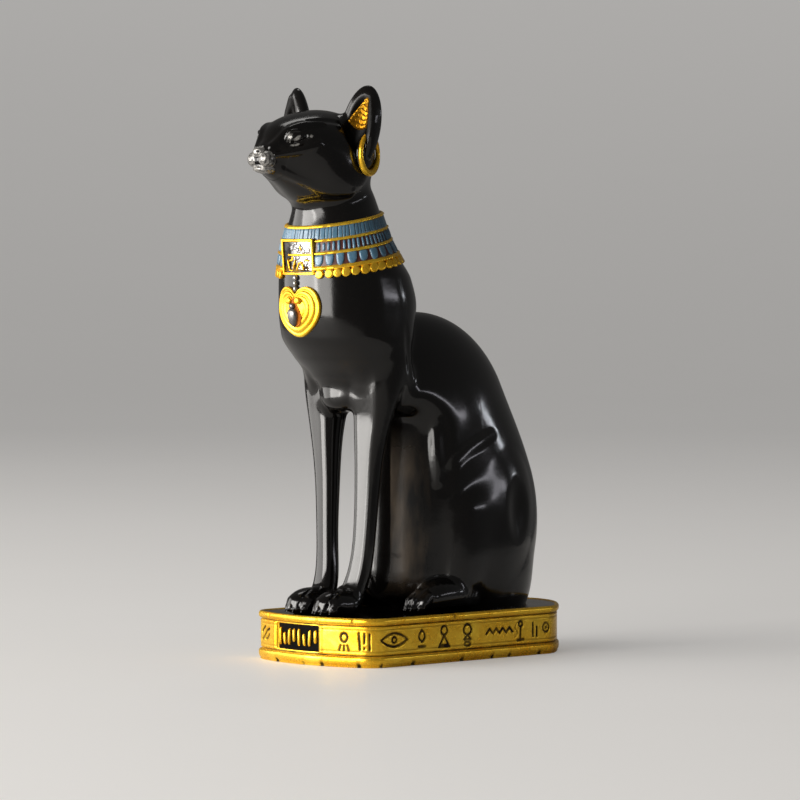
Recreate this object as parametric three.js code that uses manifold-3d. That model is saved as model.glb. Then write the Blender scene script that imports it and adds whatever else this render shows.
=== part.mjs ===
import * as THREE from 'three';
import { mergeVertices } from 'three/addons/utils/BufferGeometryUtils.js';
import Module from 'manifold-3d';

// Driving sizes, millimetres. X is the cat's left, -Y the way it faces, Z up.
const FIGURE_HEIGHT = 255;       // underside of the plinth to the ear tips
const PLINTH_WIDTH = 79;
const PLINTH_STRAIGHT = 113;     // straight part of the long sides
const FRONT_BOW = 9.5;           // how far the front end bulges past the straight sides
const REAR_BOW = 28;
const PLINTH_HEIGHT = 21.7;
const RIM_HEIGHT = 3.1;          // rounded rim round the top
const FOOT_HEIGHT = 5.0;         // rounded moulding round the bottom
const FIELD_INSET = 1.0;         // the band of strokes lies this far behind the rim
const GROOVE_INSET = 1.7;
const PANEL_WIDTH = 28.4;        // sunk panel in the middle of the front
const PANEL_SIDE = -3.7;         // its middle stands this far to the figure's right
const PANEL_DEPTH = 1.4;
const STROKE_DEPTH = 0.55;
const COLLAR_TILT = 0.174;       // the collar hangs lower in front
const COLLAR_LEVELS = [196.6, 190.6, 185.0, 178.6];  // its four ridges, at the neck's axis
const COLLAR_PROUD = 0.7;
const RIDGE_PROUD = 1.5;
const RIDGE_HALF = 0.9;
const BEAD_COUNT = 42;
const BEAD_RADIUS = 1.95;
const PLAQUE = { width: 20.3, height: 16, z: 179.8, frame: 1.7, proud: 1.2, sunk: 1.0, lean: 5 };
const HEART = { width: 27, height: 22.4, z: 155.6, proud: 1.2, crest: 2.0, sunk: 0.7 };
const HOOP = { radius: 9.1, tube: 0.95, at: [23.6, -45.6, 224.8], turn: 15 };
const TOE_GAP = 4.1;
const CELL = 2.2;                // cell of the grid the form is sampled on
const FORM_TRIANGLES = 5200;
const SOLID_TRIANGLES = 9700;

// The figure is laid out in 255ths of its own height, on the middle of the plinth's straight sides.
const UNIT = FIGURE_HEIGHT / 255;
const PLINTH_TOP = PLINTH_HEIGHT / UNIT;
const RAD = Math.PI / 180;

// Smooth joins and cuts between signed distances.
function blend(a, b, k) {
  const h = Math.max(k - Math.abs(a - b), 0) / k;
  return Math.min(a, b) - h * h * k / 4;
}

function carve(a, b, k) {
  return -blend(-a, b, k);
}

function egg(x, y, z, c, r) {
  const u = (x - c[0]) / r[0];
  const v = (y - c[1]) / r[1];
  const w = (z - c[2]) / r[2];
  const k0 = Math.hypot(u, v, w);
  const k1 = Math.hypot(u / r[0], v / r[1], w / r[2]) + 1e-9;
  return k0 * (k0 - 1) / k1;
}

function limb(x, y, z, a, b, ra, rb) {
  const dx = b[0] - a[0];
  const dy = b[1] - a[1];
  const dz = b[2] - a[2];
  const px = x - a[0];
  const py = y - a[1];
  const pz = z - a[2];
  const t = (px * dx + py * dy + pz * dz) / (dx * dx + dy * dy + dz * dz);
  const h = Math.min(1, Math.max(0, t));
  return Math.hypot(px - h * dx, py - h * dy, pz - h * dz) - (ra + (rb - ra) * h);
}

function limbs(x, y, z, joints, k) {
  let d = limb(x, y, z, joints[0].at, joints[1].at, joints[0].r, joints[1].r);
  for (let i = 1; i + 1 < joints.length; i++) {
    d = blend(d, limb(x, y, z, joints[i].at, joints[i + 1].at, joints[i].r, joints[i + 1].r), k);
  }
  return d;
}

// Neck and chest: ellipses stacked along Z, joined by a smooth curve through the stations.
const COLUMN = [
  { z: 118, y: -34, a: 15, b: 12 },
  { z: 127, y: -33, a: 22, b: 17 },
  { z: 135, y: -35, a: 27.5, b: 22 },
  { z: 145, y: -36.8, a: 30.5, b: 27.8 },
  { z: 158, y: -36.4, a: 30.6, b: 30.6 },
  { z: 170, y: -38, a: 29.6, b: 29.2 },
  { z: 180, y: -41.2, a: 27, b: 25.3 },
  { z: 188, y: -43, a: 23.4, b: 23.2 },
  { z: 197, y: -43.4, a: 20, b: 20.8 },
  { z: 205, y: -44, a: 17, b: 19 },
  { z: 216, y: -46, a: 15, b: 15 },
  { z: 230, y: -48, a: 12, b: 13 },
];

function slopeAt(i, key) {
  if (i === 0 || i === COLUMN.length - 1) return 0;
  const left = (COLUMN[i][key] - COLUMN[i - 1][key]) / (COLUMN[i].z - COLUMN[i - 1].z);
  const right = (COLUMN[i + 1][key] - COLUMN[i][key]) / (COLUMN[i + 1].z - COLUMN[i].z);
  return left * right <= 0 ? 0 : 2 * left * right / (left + right);
}

function stationAt(z, key) {
  const last = COLUMN.length - 1;
  if (z <= COLUMN[0].z) return COLUMN[0][key];
  if (z >= COLUMN[last].z) return COLUMN[last][key];
  let i = 0;
  while (COLUMN[i + 1].z < z) i++;
  const h = COLUMN[i + 1].z - COLUMN[i].z;
  const t = (z - COLUMN[i].z) / h;
  const m0 = slopeAt(i, key) * h;
  const m1 = slopeAt(i + 1, key) * h;
  const t2 = t * t;
  const t3 = t2 * t;
  return (2 * t3 - 3 * t2 + 1) * COLUMN[i][key] + (t3 - 2 * t2 + t) * m0
    + (3 * t2 - 2 * t3) * COLUMN[i + 1][key] + (t3 - t2) * m1;
}

function column(x, y, z) {
  const yc = stationAt(z, 'y');
  const a = stationAt(z, 'a');
  const b = stationAt(z, 'b');
  const u = x / a;
  const v = (y - yc) / b;
  const k0 = Math.hypot(u, v);
  const k1 = Math.hypot(u / a, v / b) + 1e-9;
  const side = k0 < 1e-6 ? -Math.min(a, b) : k0 * (k0 - 1) / k1;
  const ends = Math.max(COLUMN[0].z - z, z - COLUMN[COLUMN.length - 1].z);
  return carve(side, -ends, 10);
}

// Ear: a leaf that leans outwards, hollowed in front.
const EAR = { at: [19.6, -47, 236], turn: 21 * RAD, lean: 13 * RAD, half: 9.3, up: 20.2, down: 17.5, thick: 4.4 };

// The ear's thick outer edge curls forward.
const EAR_RIM = [
  { at: [6.2, -2.2, -10.5], r: 1.7 },
  { at: [6.6, -3, -2], r: 2.2 },
  { at: [5.6, -2.8, 7], r: 2 },
  { at: [2.6, -1.5, 15], r: 1.1 },
];

function earLocal(x, y, z) {
  const dx = x - EAR.at[0];
  const dy = y - EAR.at[1];
  const dz = z - EAR.at[2];
  const ct = Math.cos(EAR.turn);
  const st = Math.sin(EAR.turn);
  const cl = Math.cos(EAR.lean);
  const sl = Math.sin(EAR.lean);
  const across = dx * ct + dy * st;
  return [across * cl - dz * sl, dy * ct - dx * st, across * sl + dz * cl];
}

function earFields(x, y, z) {
  const [u, v, w] = earLocal(x, y, z);
  const n = w > 0 ? 1.95 : 2.3;
  const outline = (Math.abs(u) / EAR.half) ** n + (Math.abs(w) / (w > 0 ? EAR.up : EAR.down)) ** n;
  const leaf = (Math.hypot(outline ** (1 / n), v / EAR.thick) - 1) * EAR.thick;
  const hollow = egg(u, v, w, [-1.3, -5, 2.5], [5.9, 4.2, 13]);
  return [leaf, hollow, limbs(u, v, w, EAR_RIM, 1)];
}

// Eye: an almond ball on the slope of the face.
const EYE = { at: [11.6, -79, 232.2], turn: 44 * RAD, tilt: 14 * RAD };

function head(x, y, z) {
  const ax = Math.abs(x);
  let d = egg(x, y, z, [0, -52.5, 222.3], [23.3, 23.5, 22]);
  d = blend(d, egg(x, y, z, [0, -66, 229], [18.3, 18.6, 12.8]), 8);
  d = blend(d, limb(x * 0.95, y, z, [0, -66, 222], [0, -85, 223.2], 12.6, 6), 6);
  d = blend(d, limb(x, y, z, [0, -56, 212.5], [0, -83, 220.2], 9.5, 4), 6);
  d = blend(d, egg(ax, y, z, [12, -54.5, 215.8], [8, 10.5, 9]), 6);
  d = blend(d, egg(ax, y, z, [4.3, -87.6, 221.8], [4.1, 4.2, 3.7]), 1);
  d = blend(d, egg(x, y, z, [0, -90.6, 226], [3.2, 2.8, 2.2]), 1.5);
  d = blend(d, egg(x, y, z, [0, -86, 217.9], [3.9, 4, 2.1]), 1.2);
  const [leaf, hollow, rim] = earFields(ax, y, z);
  d = blend(d, leaf, 3.5);
  return blend(carve(d, hollow, 1.5), rim, 2);
}

const FORELEG = [
  { at: [16, -31, 134], r: 12.8 },
  { at: [15.8, -32.2, 123], r: 11.4 },
  { at: [15.2, -34.4, 112], r: 9.3 },
  { at: [14.5, -35.4, 103], r: 7.8 },
  { at: [13.3, -36.4, 85], r: 6.1 },
  { at: [12.7, -36.9, 70], r: 5.4 },
  { at: [11.8, -37.9, 52], r: 5.1 },
  { at: [10.5, -39.2, 40], r: 5.4 },
  { at: [9.2, -42.5, 31], r: 6 },
];

// The hind foot runs back from the toes and swells at its middle.
const HIND_FOOT = [
  { at: [23.6, -13.5, 26.8], r: 5.4 },
  { at: [23.8, -4, 28.6], r: 6.9 },
  { at: [23, 6, 28.6], r: 6.9 },
  { at: [21.5, 16, 27], r: 5.2 },
];

// The tail lies along the haunch on the cat's right side.
const TAIL = [
  { at: [-4, 66, 27], r: 5.6 },
  { at: [-20, 56, 26.6], r: 5.3 },
  { at: [-29, 36, 26.2], r: 4.9 },
  { at: [-31.5, 12, 25.8], r: 4.4 },
  { at: [-30.5, -10, 25.4], r: 3.6 },
];

function boxCut(x, y, z) {
  const qx = Math.abs(x) - 68;
  const qy = Math.abs(y + 70) - 54;
  const qz = Math.abs(z - 60) - 39;
  const outside = Math.hypot(Math.max(qx, 0), Math.max(qy, 0), Math.max(qz, 0));
  return outside + Math.min(Math.max(qx, qy, qz), 0) - 12;
}

// The belly comes down to the plinth as a blunt wedge that points forward between the legs.
function web(x, y, z) {
  let d = carve(0.574 * Math.hypot(x, 4) - 0.819 * y - 21.4, 21.5 - Math.abs(x), 8);
  d = carve(d, 39 - Math.abs(z - 63), 14);
  return Math.max(d, y - 15);
}

// The thigh is an egg whose top leans forwards.
const THIGH = { at: [18.5, 30, 60], r: [13, 27, 38], lean: -14 * RAD };

function thigh(ax, y, z) {
  const dy = y - THIGH.at[1];
  const dz = z - THIGH.at[2];
  const c = Math.cos(THIGH.lean);
  const s = Math.sin(THIGH.lean);
  const muscle = egg(ax, dy * c + dz * s, dz * c - dy * s, [THIGH.at[0], 0, 0], THIGH.r);
  return blend(muscle, limb(ax, y, z, [20.5, 13, 66], [20.5, 10, 36], 9, 7.5), 12);
}

function figure(x, y, z) {
  const ax = Math.abs(x);
  let d = carve(egg(x, y, z, [0, 4, 95], [29, 56, 60]), boxCut(x, y, z), 12);
  d = blend(d, egg(x, y, z, [0, 32, 60], [29.8, 43, 58]), 10);
  d = blend(d, web(x, y, z), 7);
  d = blend(d, egg(x, y, z, [0, 36, 30], [25, 33.5, 28]), 8);
  d = blend(d, column(x, y, z), 5);
  d = blend(d, egg(ax, y, z, [16.5, -32, 146], [12.3, 15, 25]), 3.5);
  if (z < 150) {
    d = blend(d, limbs(ax, y, z, FORELEG, 2), 3);
    d = blend(d, egg(ax, y, z, [18.6, -22.4, 126.5], [6, 5.4, 8]), 5);
    d = blend(d, thigh(ax, y, z), 2.5);
  }
  if (z < 60) {
    d = blend(d, egg(ax, y, z, [9, -50.5, 26.2], [8.4, 12, 6.8]), 2.5);
    d = blend(d, limbs(ax, y, z, HIND_FOOT, 2), 2.5);
    d = blend(d, limbs(x, y, z, TAIL, 2), 1.5);
  }
  if (z > 190) d = blend(d, head(x, y, z), 4);
  return Math.max(d, PLINTH_TOP - 2 - z);
}

// True when a cell's corners of one kind don't hang together along its edges.
function isSplit(mask) {
  for (const kind of [0, 1]) {
    const corners = [0, 1, 2, 3, 4, 5, 6, 7].filter((c) => ((mask >> c) & 1) === kind);
    const seen = new Set(corners.slice(0, 1));
    for (const c of seen) {
      for (const step of [1, 2, 4]) {
        const next = c ^ step;
        if (((mask >> next) & 1) === kind) seen.add(next);
      }
    }
    if (seen.size < corners.length) return true;
  }
  return false;
}

// Fills outside corners beside the surface until every cell holds one plain sheet.
function plainCells(value, n, at) {
  const split = Array.from({ length: 256 }, (_, mask) => isSplit(mask));
  for (let pass = 0, changed = true; changed && pass < 20; pass++) {
    changed = false;
    for (let k = 0; k + 1 < n[2]; k++) {
      for (let j = 0; j + 1 < n[1]; j++) {
        for (let i = 0; i + 1 < n[0]; i++) {
          let mask = 0;
          for (let c = 0; c < 8; c++) {
            if (value[at(i + (c & 1), j + ((c >> 1) & 1), k + (c >> 2))] < 0) mask |= 1 << c;
          }
          if (!split[mask]) continue;
          const ids = [0, 1, 2, 3, 4, 5, 6, 7].map((c) => at(i + (c & 1), j + ((c >> 1) & 1), k + (c >> 2)));
          const outside = ids.filter((id) => value[id] >= 0);
          const nearest = outside.reduce((a, b) => (value[a] <= value[b] ? a : b));
          value[nearest] = -0.02;
          changed = true;
        }
      }
    }
  }
}

// Samples a field on a grid and joins one vertex a crossed cell into quads, split in two.
function netSurface(field, lo, hi, cell) {
  const n = [0, 1, 2].map((i) => Math.ceil((hi[i] - lo[i]) / cell) + 1);
  const at = (i, j, k) => (k * n[1] + j) * n[0] + i;
  const value = new Float32Array(n[0] * n[1] * n[2]);
  for (let k = 0; k < n[2]; k++) {
    for (let j = 0; j < n[1]; j++) {
      for (let i = 0; i < n[0]; i++) {
        value[at(i, j, k)] = field(lo[0] + i * cell, lo[1] + j * cell, lo[2] + k * cell);
      }
    }
  }
  plainCells(value, n, at);
  const vertexOf = new Int32Array(value.length).fill(-1);
  const points = [];
  for (let k = 0; k + 1 < n[2]; k++) {
    for (let j = 0; j + 1 < n[1]; j++) {
      for (let i = 0; i + 1 < n[0]; i++) {
        if (Math.abs(value[at(i, j, k)]) > 3 * cell) continue;
        let count = 0;
        let sx = 0;
        let sy = 0;
        let sz = 0;
        for (let axis = 0; axis < 3; axis++) {
          for (let corner = 0; corner < 4; corner++) {
            const p = [0, 0, 0];
            p[(axis + 1) % 3] = corner & 1;
            p[(axis + 2) % 3] = corner >> 1;
            const q = p.slice();
            q[axis] = 1;
            const v0 = value[at(i + p[0], j + p[1], k + p[2])];
            const v1 = value[at(i + q[0], j + q[1], k + q[2])];
            if ((v0 < 0) === (v1 < 0)) continue;
            const t = v0 / (v0 - v1);
            sx += p[0] + (axis === 0 ? t : 0);
            sy += p[1] + (axis === 1 ? t : 0);
            sz += p[2] + (axis === 2 ? t : 0);
            count++;
          }
        }
        if (count === 0) continue;
        vertexOf[at(i, j, k)] = points.length / 3;
        points.push(lo[0] + (i + sx / count) * cell, lo[1] + (j + sy / count) * cell, lo[2] + (k + sz / count) * cell);
      }
    }
  }
  const faces = [];
  const step = [at(1, 0, 0), at(0, 1, 0), at(0, 0, 1)];
  for (let k = 1; k + 1 < n[2]; k++) {
    for (let j = 1; j + 1 < n[1]; j++) {
      for (let i = 1; i + 1 < n[0]; i++) {
        const here = at(i, j, k);
        for (let axis = 0; axis < 3; axis++) {
          const inside = value[here] < 0;
          if (inside === (value[here + step[axis]] < 0)) continue;
          const u = step[(axis + 1) % 3];
          const v = step[(axis + 2) % 3];
          const quad = [vertexOf[here - u - v], vertexOf[here - v], vertexOf[here], vertexOf[here - u]];
          if (!inside) quad.reverse();
          faces.push(quad[0], quad[1], quad[2], quad[0], quad[2], quad[3]);
        }
      }
    }
  }
  return { points: Float64Array.from(points), faces: Int32Array.from(faces) };
}

// Pulls every vertex onto the field's surface.
function settle(net, field, turns) {
  const e = 0.15;
  for (let i = 0; i < net.points.length; i += 3) {
    for (let turn = 0; turn < turns; turn++) {
      const [x, y, z] = net.points.subarray(i, i + 3);
      const d = field(x, y, z);
      const gx = (field(x + e, y, z) - field(x - e, y, z)) / (2 * e);
      const gy = (field(x, y + e, z) - field(x, y - e, z)) / (2 * e);
      const gz = (field(x, y, z + e) - field(x, y, z - e)) / (2 * e);
      const g = gx * gx + gy * gy + gz * gz + 1e-6;
      const pull = Math.max(-0.5, Math.min(0.5, d / g));
      net.points[i] -= gx * pull;
      net.points[i + 1] -= gy * pull;
      net.points[i + 2] -= gz * pull;
    }
  }
}

// Thins a closed surface by folding its cheapest edges away, with sums of squared plane distances.
class Thinner {
  constructor(net, weightAt) {
    this.p = Float64Array.from(net.points);
    this.f = Int32Array.from(net.faces);
    this.live = this.f.length / 3;
    const count = this.p.length / 3;
    this.around = Array.from({ length: count }, () => new Set());
    this.q = new Float64Array(count * 10);
    this.stamp = new Int32Array(count);
    this.heap = [];
    for (let t = 0; t < this.f.length / 3; t++) {
      for (let c = 0; c < 3; c++) this.around[this.f[3 * t + c]].add(t);
      const plane = this.plane(t);
      const area = plane[4];
      for (let c = 0; c < 3; c++) {
        const v = this.f[3 * t + c];
        this.addPlane(v, plane, area * weightAt(this.p[3 * v], this.p[3 * v + 1], this.p[3 * v + 2]));
      }
    }
    for (let v = 0; v < count; v++) {
      for (const w of this.neighbours(v)) if (w > v) this.offer(v, w);
    }
  }

  normal(a, b, c) {
    const ux = b[0] - a[0];
    const uy = b[1] - a[1];
    const uz = b[2] - a[2];
    const vx = c[0] - a[0];
    const vy = c[1] - a[1];
    const vz = c[2] - a[2];
    return [uy * vz - uz * vy, uz * vx - ux * vz, ux * vy - uy * vx];
  }

  point(v) {
    return [this.p[3 * v], this.p[3 * v + 1], this.p[3 * v + 2]];
  }

  plane(t) {
    const a = this.point(this.f[3 * t]);
    const n = this.normal(a, this.point(this.f[3 * t + 1]), this.point(this.f[3 * t + 2]));
    const l = Math.hypot(...n) || 1e-12;
    const [x, y, z] = n.map((c) => c / l);
    return [x, y, z, -(x * a[0] + y * a[1] + z * a[2]), l / 2];
  }

  addPlane(v, [a, b, c, d], w) {
    const terms = [a * a, a * b, a * c, a * d, b * b, b * c, b * d, c * c, c * d, d * d];
    for (let i = 0; i < 10; i++) this.q[10 * v + i] += w * terms[i];
  }

  neighbours(v) {
    const out = new Set();
    for (const t of this.around[v]) {
      for (let c = 0; c < 3; c++) if (this.f[3 * t + c] !== v) out.add(this.f[3 * t + c]);
    }
    return out;
  }

  cost(q, x, y, z) {
    return q[0] * x * x + 2 * q[1] * x * y + 2 * q[2] * x * z + 2 * q[3] * x + q[4] * y * y
      + 2 * q[5] * y * z + 2 * q[6] * y + q[7] * z * z + 2 * q[8] * z + q[9];
  }

  best(u, v) {
    const q = [];
    for (let i = 0; i < 10; i++) q.push(this.q[10 * u + i] + this.q[10 * v + i]);
    const a = this.point(u);
    const b = this.point(v);
    const mid = [0, 1, 2].map((i) => (a[i] + b[i]) / 2);
    const length = Math.hypot(a[0] - b[0], a[1] - b[1], a[2] - b[2]);
    const det = q[0] * (q[4] * q[7] - q[5] * q[5]) - q[1] * (q[1] * q[7] - q[5] * q[2])
      + q[2] * (q[1] * q[5] - q[4] * q[2]);
    const size = q[0] + q[4] + q[7];
    let at = mid;
    for (const end of [a, b]) if (this.cost(q, ...end) < this.cost(q, ...at) - 1e-9) at = end;
    if (Math.abs(det) > 1e-4 * size * size * size) {
      const r = [-q[3], -q[6], -q[8]];
      const x = (r[0] * (q[4] * q[7] - q[5] * q[5]) - q[1] * (r[1] * q[7] - q[5] * r[2])
        + q[2] * (r[1] * q[5] - q[4] * r[2])) / det;
      const y = (q[0] * (r[1] * q[7] - r[2] * q[5]) - r[0] * (q[1] * q[7] - q[5] * q[2])
        + q[2] * (q[1] * r[2] - r[1] * q[2])) / det;
      const z = (q[0] * (q[4] * r[2] - q[5] * r[1]) - q[1] * (q[1] * r[2] - r[1] * q[2])
        + r[0] * (q[1] * q[5] - q[4] * q[2])) / det;
      if (Math.hypot(x - mid[0], y - mid[1], z - mid[2]) < 1.2 * length) at = [x, y, z];
    }
    return { at, cost: Math.max(0, this.cost(q, ...at)) + 1e-5 * length * length };
  }

  offer(u, v) {
    const { at, cost } = this.best(u, v);
    const item = { cost, u, v, at, su: this.stamp[u], sv: this.stamp[v] };
    const heap = this.heap;
    let i = heap.length;
    heap.push(item);
    while (i > 0) {
      const parent = (i - 1) >> 1;
      if (heap[parent].cost <= item.cost) break;
      heap[i] = heap[parent];
      i = parent;
    }
    heap[i] = item;
  }

  take() {
    const heap = this.heap;
    const top = heap[0];
    const last = heap.pop();
    if (heap.length > 0) {
      let i = 0;
      for (;;) {
        let child = 2 * i + 1;
        if (child >= heap.length) break;
        if (child + 1 < heap.length && heap[child + 1].cost < heap[child].cost) child++;
        if (heap[child].cost >= last.cost) break;
        heap[i] = heap[child];
        i = child;
      }
      heap[i] = last;
    }
    return top;
  }

  keepsForm(v, other, at) {
    for (const t of this.around[v]) {
      const ids = [this.f[3 * t], this.f[3 * t + 1], this.f[3 * t + 2]];
      if (ids.includes(other)) continue;
      const before = this.normal(...ids.map((i) => this.point(i)));
      const after = this.normal(...ids.map((i) => (i === v ? at : this.point(i))));
      const lb = Math.hypot(...before);
      const la = Math.hypot(...after);
      if (lb < 1e-3) continue;
      if (la < 1e-3) return false;
      const dot = before[0] * after[0] + before[1] * after[1] + before[2] * after[2];
      if (dot < 0.35 * lb * la) return false;
    }
    return true;
  }

  fold({ u, v, at }) {
    const near = this.neighbours(u);
    const far = this.neighbours(v);
    let shared = 0;
    for (const w of near) if (far.has(w)) shared++;
    if (shared !== 2 || near.size + far.size < 8) return;
    if (!this.keepsForm(u, v, at) || !this.keepsForm(v, u, at)) return;
    for (const t of this.around[v]) {
      const ids = [this.f[3 * t], this.f[3 * t + 1], this.f[3 * t + 2]];
      if (ids.includes(u)) {
        for (const w of ids) if (w !== v) this.around[w].delete(t);
        this.f[3 * t] = -1;
        this.live--;
      } else {
        this.f[3 * t + ids.indexOf(v)] = u;
        this.around[u].add(t);
      }
    }
    this.around[v] = new Set();
    this.stamp[v] = -1;
    this.stamp[u]++;
    this.p.set(at, 3 * u);
    for (let i = 0; i < 10; i++) this.q[10 * u + i] += this.q[10 * v + i];
    for (const w of this.neighbours(u)) this.offer(u, w);
  }

  thin(target) {
    while (this.live > target && this.heap.length > 0) {
      const item = this.take();
      if (this.stamp[item.u] !== item.su || this.stamp[item.v] !== item.sv) continue;
      this.fold(item);
    }
    const renamed = new Map();
    const points = [];
    const faces = [];
    for (let t = 0; t < this.f.length / 3; t++) {
      if (this.f[3 * t] < 0) continue;
      for (let c = 0; c < 3; c++) {
        const v = this.f[3 * t + c];
        if (!renamed.has(v)) {
          renamed.set(v, points.length / 3);
          points.push(...this.point(v));
        }
        faces.push(renamed.get(v));
      }
    }
    return { points, faces };
  }
}

function toGeometry(points, faces) {
  const geometry = new THREE.BufferGeometry();
  geometry.setAttribute('position', new THREE.Float32BufferAttribute(points, 3));
  geometry.setIndex(Array.from(faces));
  return geometry;
}

// Closed skin over rings of equal length: the rings run from inside to outside and back.
function tubeOfRings(rings, closed) {
  const count = rings[0].length;
  const points = rings.flat(2);
  const faces = [];
  const spans = closed ? rings.length : rings.length - 1;
  for (let r = 0; r < spans; r++) {
    const s = (r + 1) % rings.length;
    for (let i = 0; i < count; i++) {
      const j = (i + 1) % count;
      const a = r * count + i;
      const b = r * count + j;
      const c = s * count + j;
      const d = s * count + i;
      faces.push(a, b, c, a, c, d);
    }
  }
  return { points, faces, count };
}

function capped(rings) {
  const skin = tubeOfRings(rings, false);
  for (const [ring, flip] of [[0, true], [rings.length - 1, false]]) {
    const middle = skin.points.length / 3;
    const sum = [0, 0, 0];
    for (const p of rings[ring]) for (let i = 0; i < 3; i++) sum[i] += p[i] / rings[ring].length;
    skin.points.push(...sum);
    for (let i = 0; i < skin.count; i++) {
      const a = ring * skin.count + i;
      const b = ring * skin.count + (i + 1) % skin.count;
      if (flip) skin.faces.push(b, a, middle);
      else skin.faces.push(a, b, middle);
    }
  }
  return toGeometry(skin.points, skin.faces);
}

// Distance from an inner point to the figure's skin along a direction.
function reach(from, dir, guess) {
  let lo = 0;
  let hi = guess;
  for (let i = 0; i < 26; i++) {
    const t = (lo + hi) / 2;
    if (figure(from[0] + dir[0] * t, from[1] + dir[1] * t, from[2] + dir[2] * t) < 0) lo = t;
    else hi = t;
  }
  return lo;
}

// A point on the neck at a level and a turn, moved out by `proud`.
const AXIS_Y = -43;

function onNeck(level, angle, proud) {
  const dir = [Math.cos(angle), Math.sin(angle), COLLAR_TILT * Math.sin(angle)];
  const from = [0, AXIS_Y, level];
  const t = reach(from, dir, 45) + proud;
  return from.map((c, i) => c + dir[i] * t);
}

function collar() {
  const stops = [];
  COLLAR_LEVELS.forEach((level, i) => {
    const half = i === 3 ? RIDGE_HALF * 1.25 : RIDGE_HALF;
    stops.push([level + half, i === 0 ? -0.6 : COLLAR_PROUD]);
    stops.push([level, RIDGE_PROUD + (i === 3 ? 0.4 : 0)]);
    stops.push([level - half, i === 3 ? -0.6 : COLLAR_PROUD]);
  });
  stops.push([COLLAR_LEVELS[3] - 1, -3], [COLLAR_LEVELS[0] + 0.6, -3]);
  const sides = 40;
  const rings = stops.map(([level, proud]) => {
    const ring = [];
    for (let i = 0; i < sides; i++) ring.push(onNeck(level, 2 * Math.PI * i / sides, proud));
    return ring;
  });
  rings.reverse();
  const skin = tubeOfRings(rings, true);
  return toGeometry(skin.points, skin.faces);
}

function bead(at, radius) {
  const ball = new THREE.IcosahedronGeometry(radius, 0);
  ball.scale(1, 1, 1.15);
  ball.translate(...at);
  return ball;
}

function block(width, depth, height, x, y, z) {
  const box = new THREE.BoxGeometry(width, depth, height);
  box.translate(x, y, z);
  return box;
}

// Half of the heart's outline from the notch to the tip, in shares of its width and height.
const HEART_SIDE = [
  [0, 0.36], [0.1, 0.46], [0.25, 0.5], [0.4, 0.41], [0.49, 0.2],
  [0.49, -0.02], [0.41, -0.22], [0.28, -0.37], [0.13, -0.47], [0, -0.5],
];
const heartCurve = new THREE.SplineCurve([
  ...HEART_SIDE.map(([a, b]) => new THREE.Vector2(a, b)),
  ...HEART_SIDE.slice(1, -1).reverse().map(([a, b]) => new THREE.Vector2(-a, b)),
  new THREE.Vector2(...HEART_SIDE[0]),
]);

function heartPoint(share) {
  const { x, y } = heartCurve.getPoint(share);
  return [x, y];
}

function onChest(across, z, proud) {
  const turn = across / 31;
  const dir = [Math.sin(turn), -Math.cos(turn), 0];
  const from = [0, -37, z];
  const t = reach(from, dir, 45) + proud;
  return from.map((c, i) => c + dir[i] * t);
}

function heart() {
  const steps = 26;
  const layers = [[1, -2.5], [1, HEART.proud], [0.86, HEART.crest], [0.7, HEART.crest - 0.3], [0.56, HEART.sunk]];
  const rings = layers.map(([scale, proud]) => {
    const ring = [];
    for (let i = 0; i < steps; i++) {
      const [a, b] = heartPoint(1 - (i + 0.5) / steps);
      ring.push(onChest(a * scale * HEART.width, HEART.z + b * scale * HEART.height, proud));
    }
    return ring;
  });
  return capped(rings);
}

// Plinth outline at an inset: straight sides, bowed ends, rounded corners.
function plinthOutline(inset) {
  const half = PLINTH_WIDTH / 2 - inset;
  const points = [];
  const end = (sign, bow, soft, steps) => {
    for (let i = 0; i <= steps; i++) {
      const s = -Math.cos(Math.PI * i / steps);
      const u = sign * s;
      const share = soft / half;
      const edge = Math.max(0, (Math.abs(u) - (1 - share)) / share);
      const drop = soft * (1 - Math.sqrt(Math.max(0, 1 - edge * edge)));
      const y = PLINTH_STRAIGHT / 2 - inset + bow * (1 - u * u) - drop;
      points.push([-u * half, sign * y]);
    }
  };
  end(1, REAR_BOW, 4, 14);
  end(-1, FRONT_BOW, 7, 14);
  return points;
}

function plinth() {
  const top = PLINTH_HEIGHT;
  const levels = [
    [0, 1.1],
    [1.3, 0.1],
    [FOOT_HEIGHT - 1.4, 0.1],
    [FOOT_HEIGHT, GROOVE_INSET],
    [FOOT_HEIGHT + 0.9, FIELD_INSET],
    [top - RIM_HEIGHT - 0.9, FIELD_INSET],
    [top - RIM_HEIGHT, GROOVE_INSET],
    [top - RIM_HEIGHT + 0.9, 0.2],
    [top - 0.8, 0.2],
    [top, 1.4],
  ];
  const rings = levels.map(([z, inset]) => plinthOutline(inset).map(([x, y]) => [x, y, z]));
  return capped(rings);
}

// The bowed face of the band in front: its place and its turn at a width x.
function frontSeat(x) {
  const half = PLINTH_WIDTH / 2;
  const y = -PLINTH_STRAIGHT / 2 - FRONT_BOW * (1 - (x / half) ** 2) + FIELD_INSET;
  return { y, turn: Math.atan((2 * FRONT_BOW * x) / half ** 2) };
}

// One shallow stroke: a bar set in the face of the band, turned in that face.
function stroke(length, width, turn, across, up, face) {
  const bar = new THREE.BoxGeometry(length, 2 * STROKE_DEPTH, width);
  bar.rotateY(turn * RAD);
  bar.translate(across, 0, up);
  if (face === 'left') {
    bar.rotateZ(90 * RAD);
    bar.translate(PLINTH_WIDTH / 2 - FIELD_INSET, 0, 0);
  } else if (face === 'right') {
    bar.rotateZ(-90 * RAD);
    bar.translate(-PLINTH_WIDTH / 2 + FIELD_INSET, 0, 0);
  } else {
    const seat = frontSeat(across);
    bar.translate(-across, PANEL_DEPTH - 0.7 * STROKE_DEPTH, 0);
    bar.rotateZ(seat.turn);
    bar.translate(across, seat.y, 0);
  }
  return bar;
}

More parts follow.
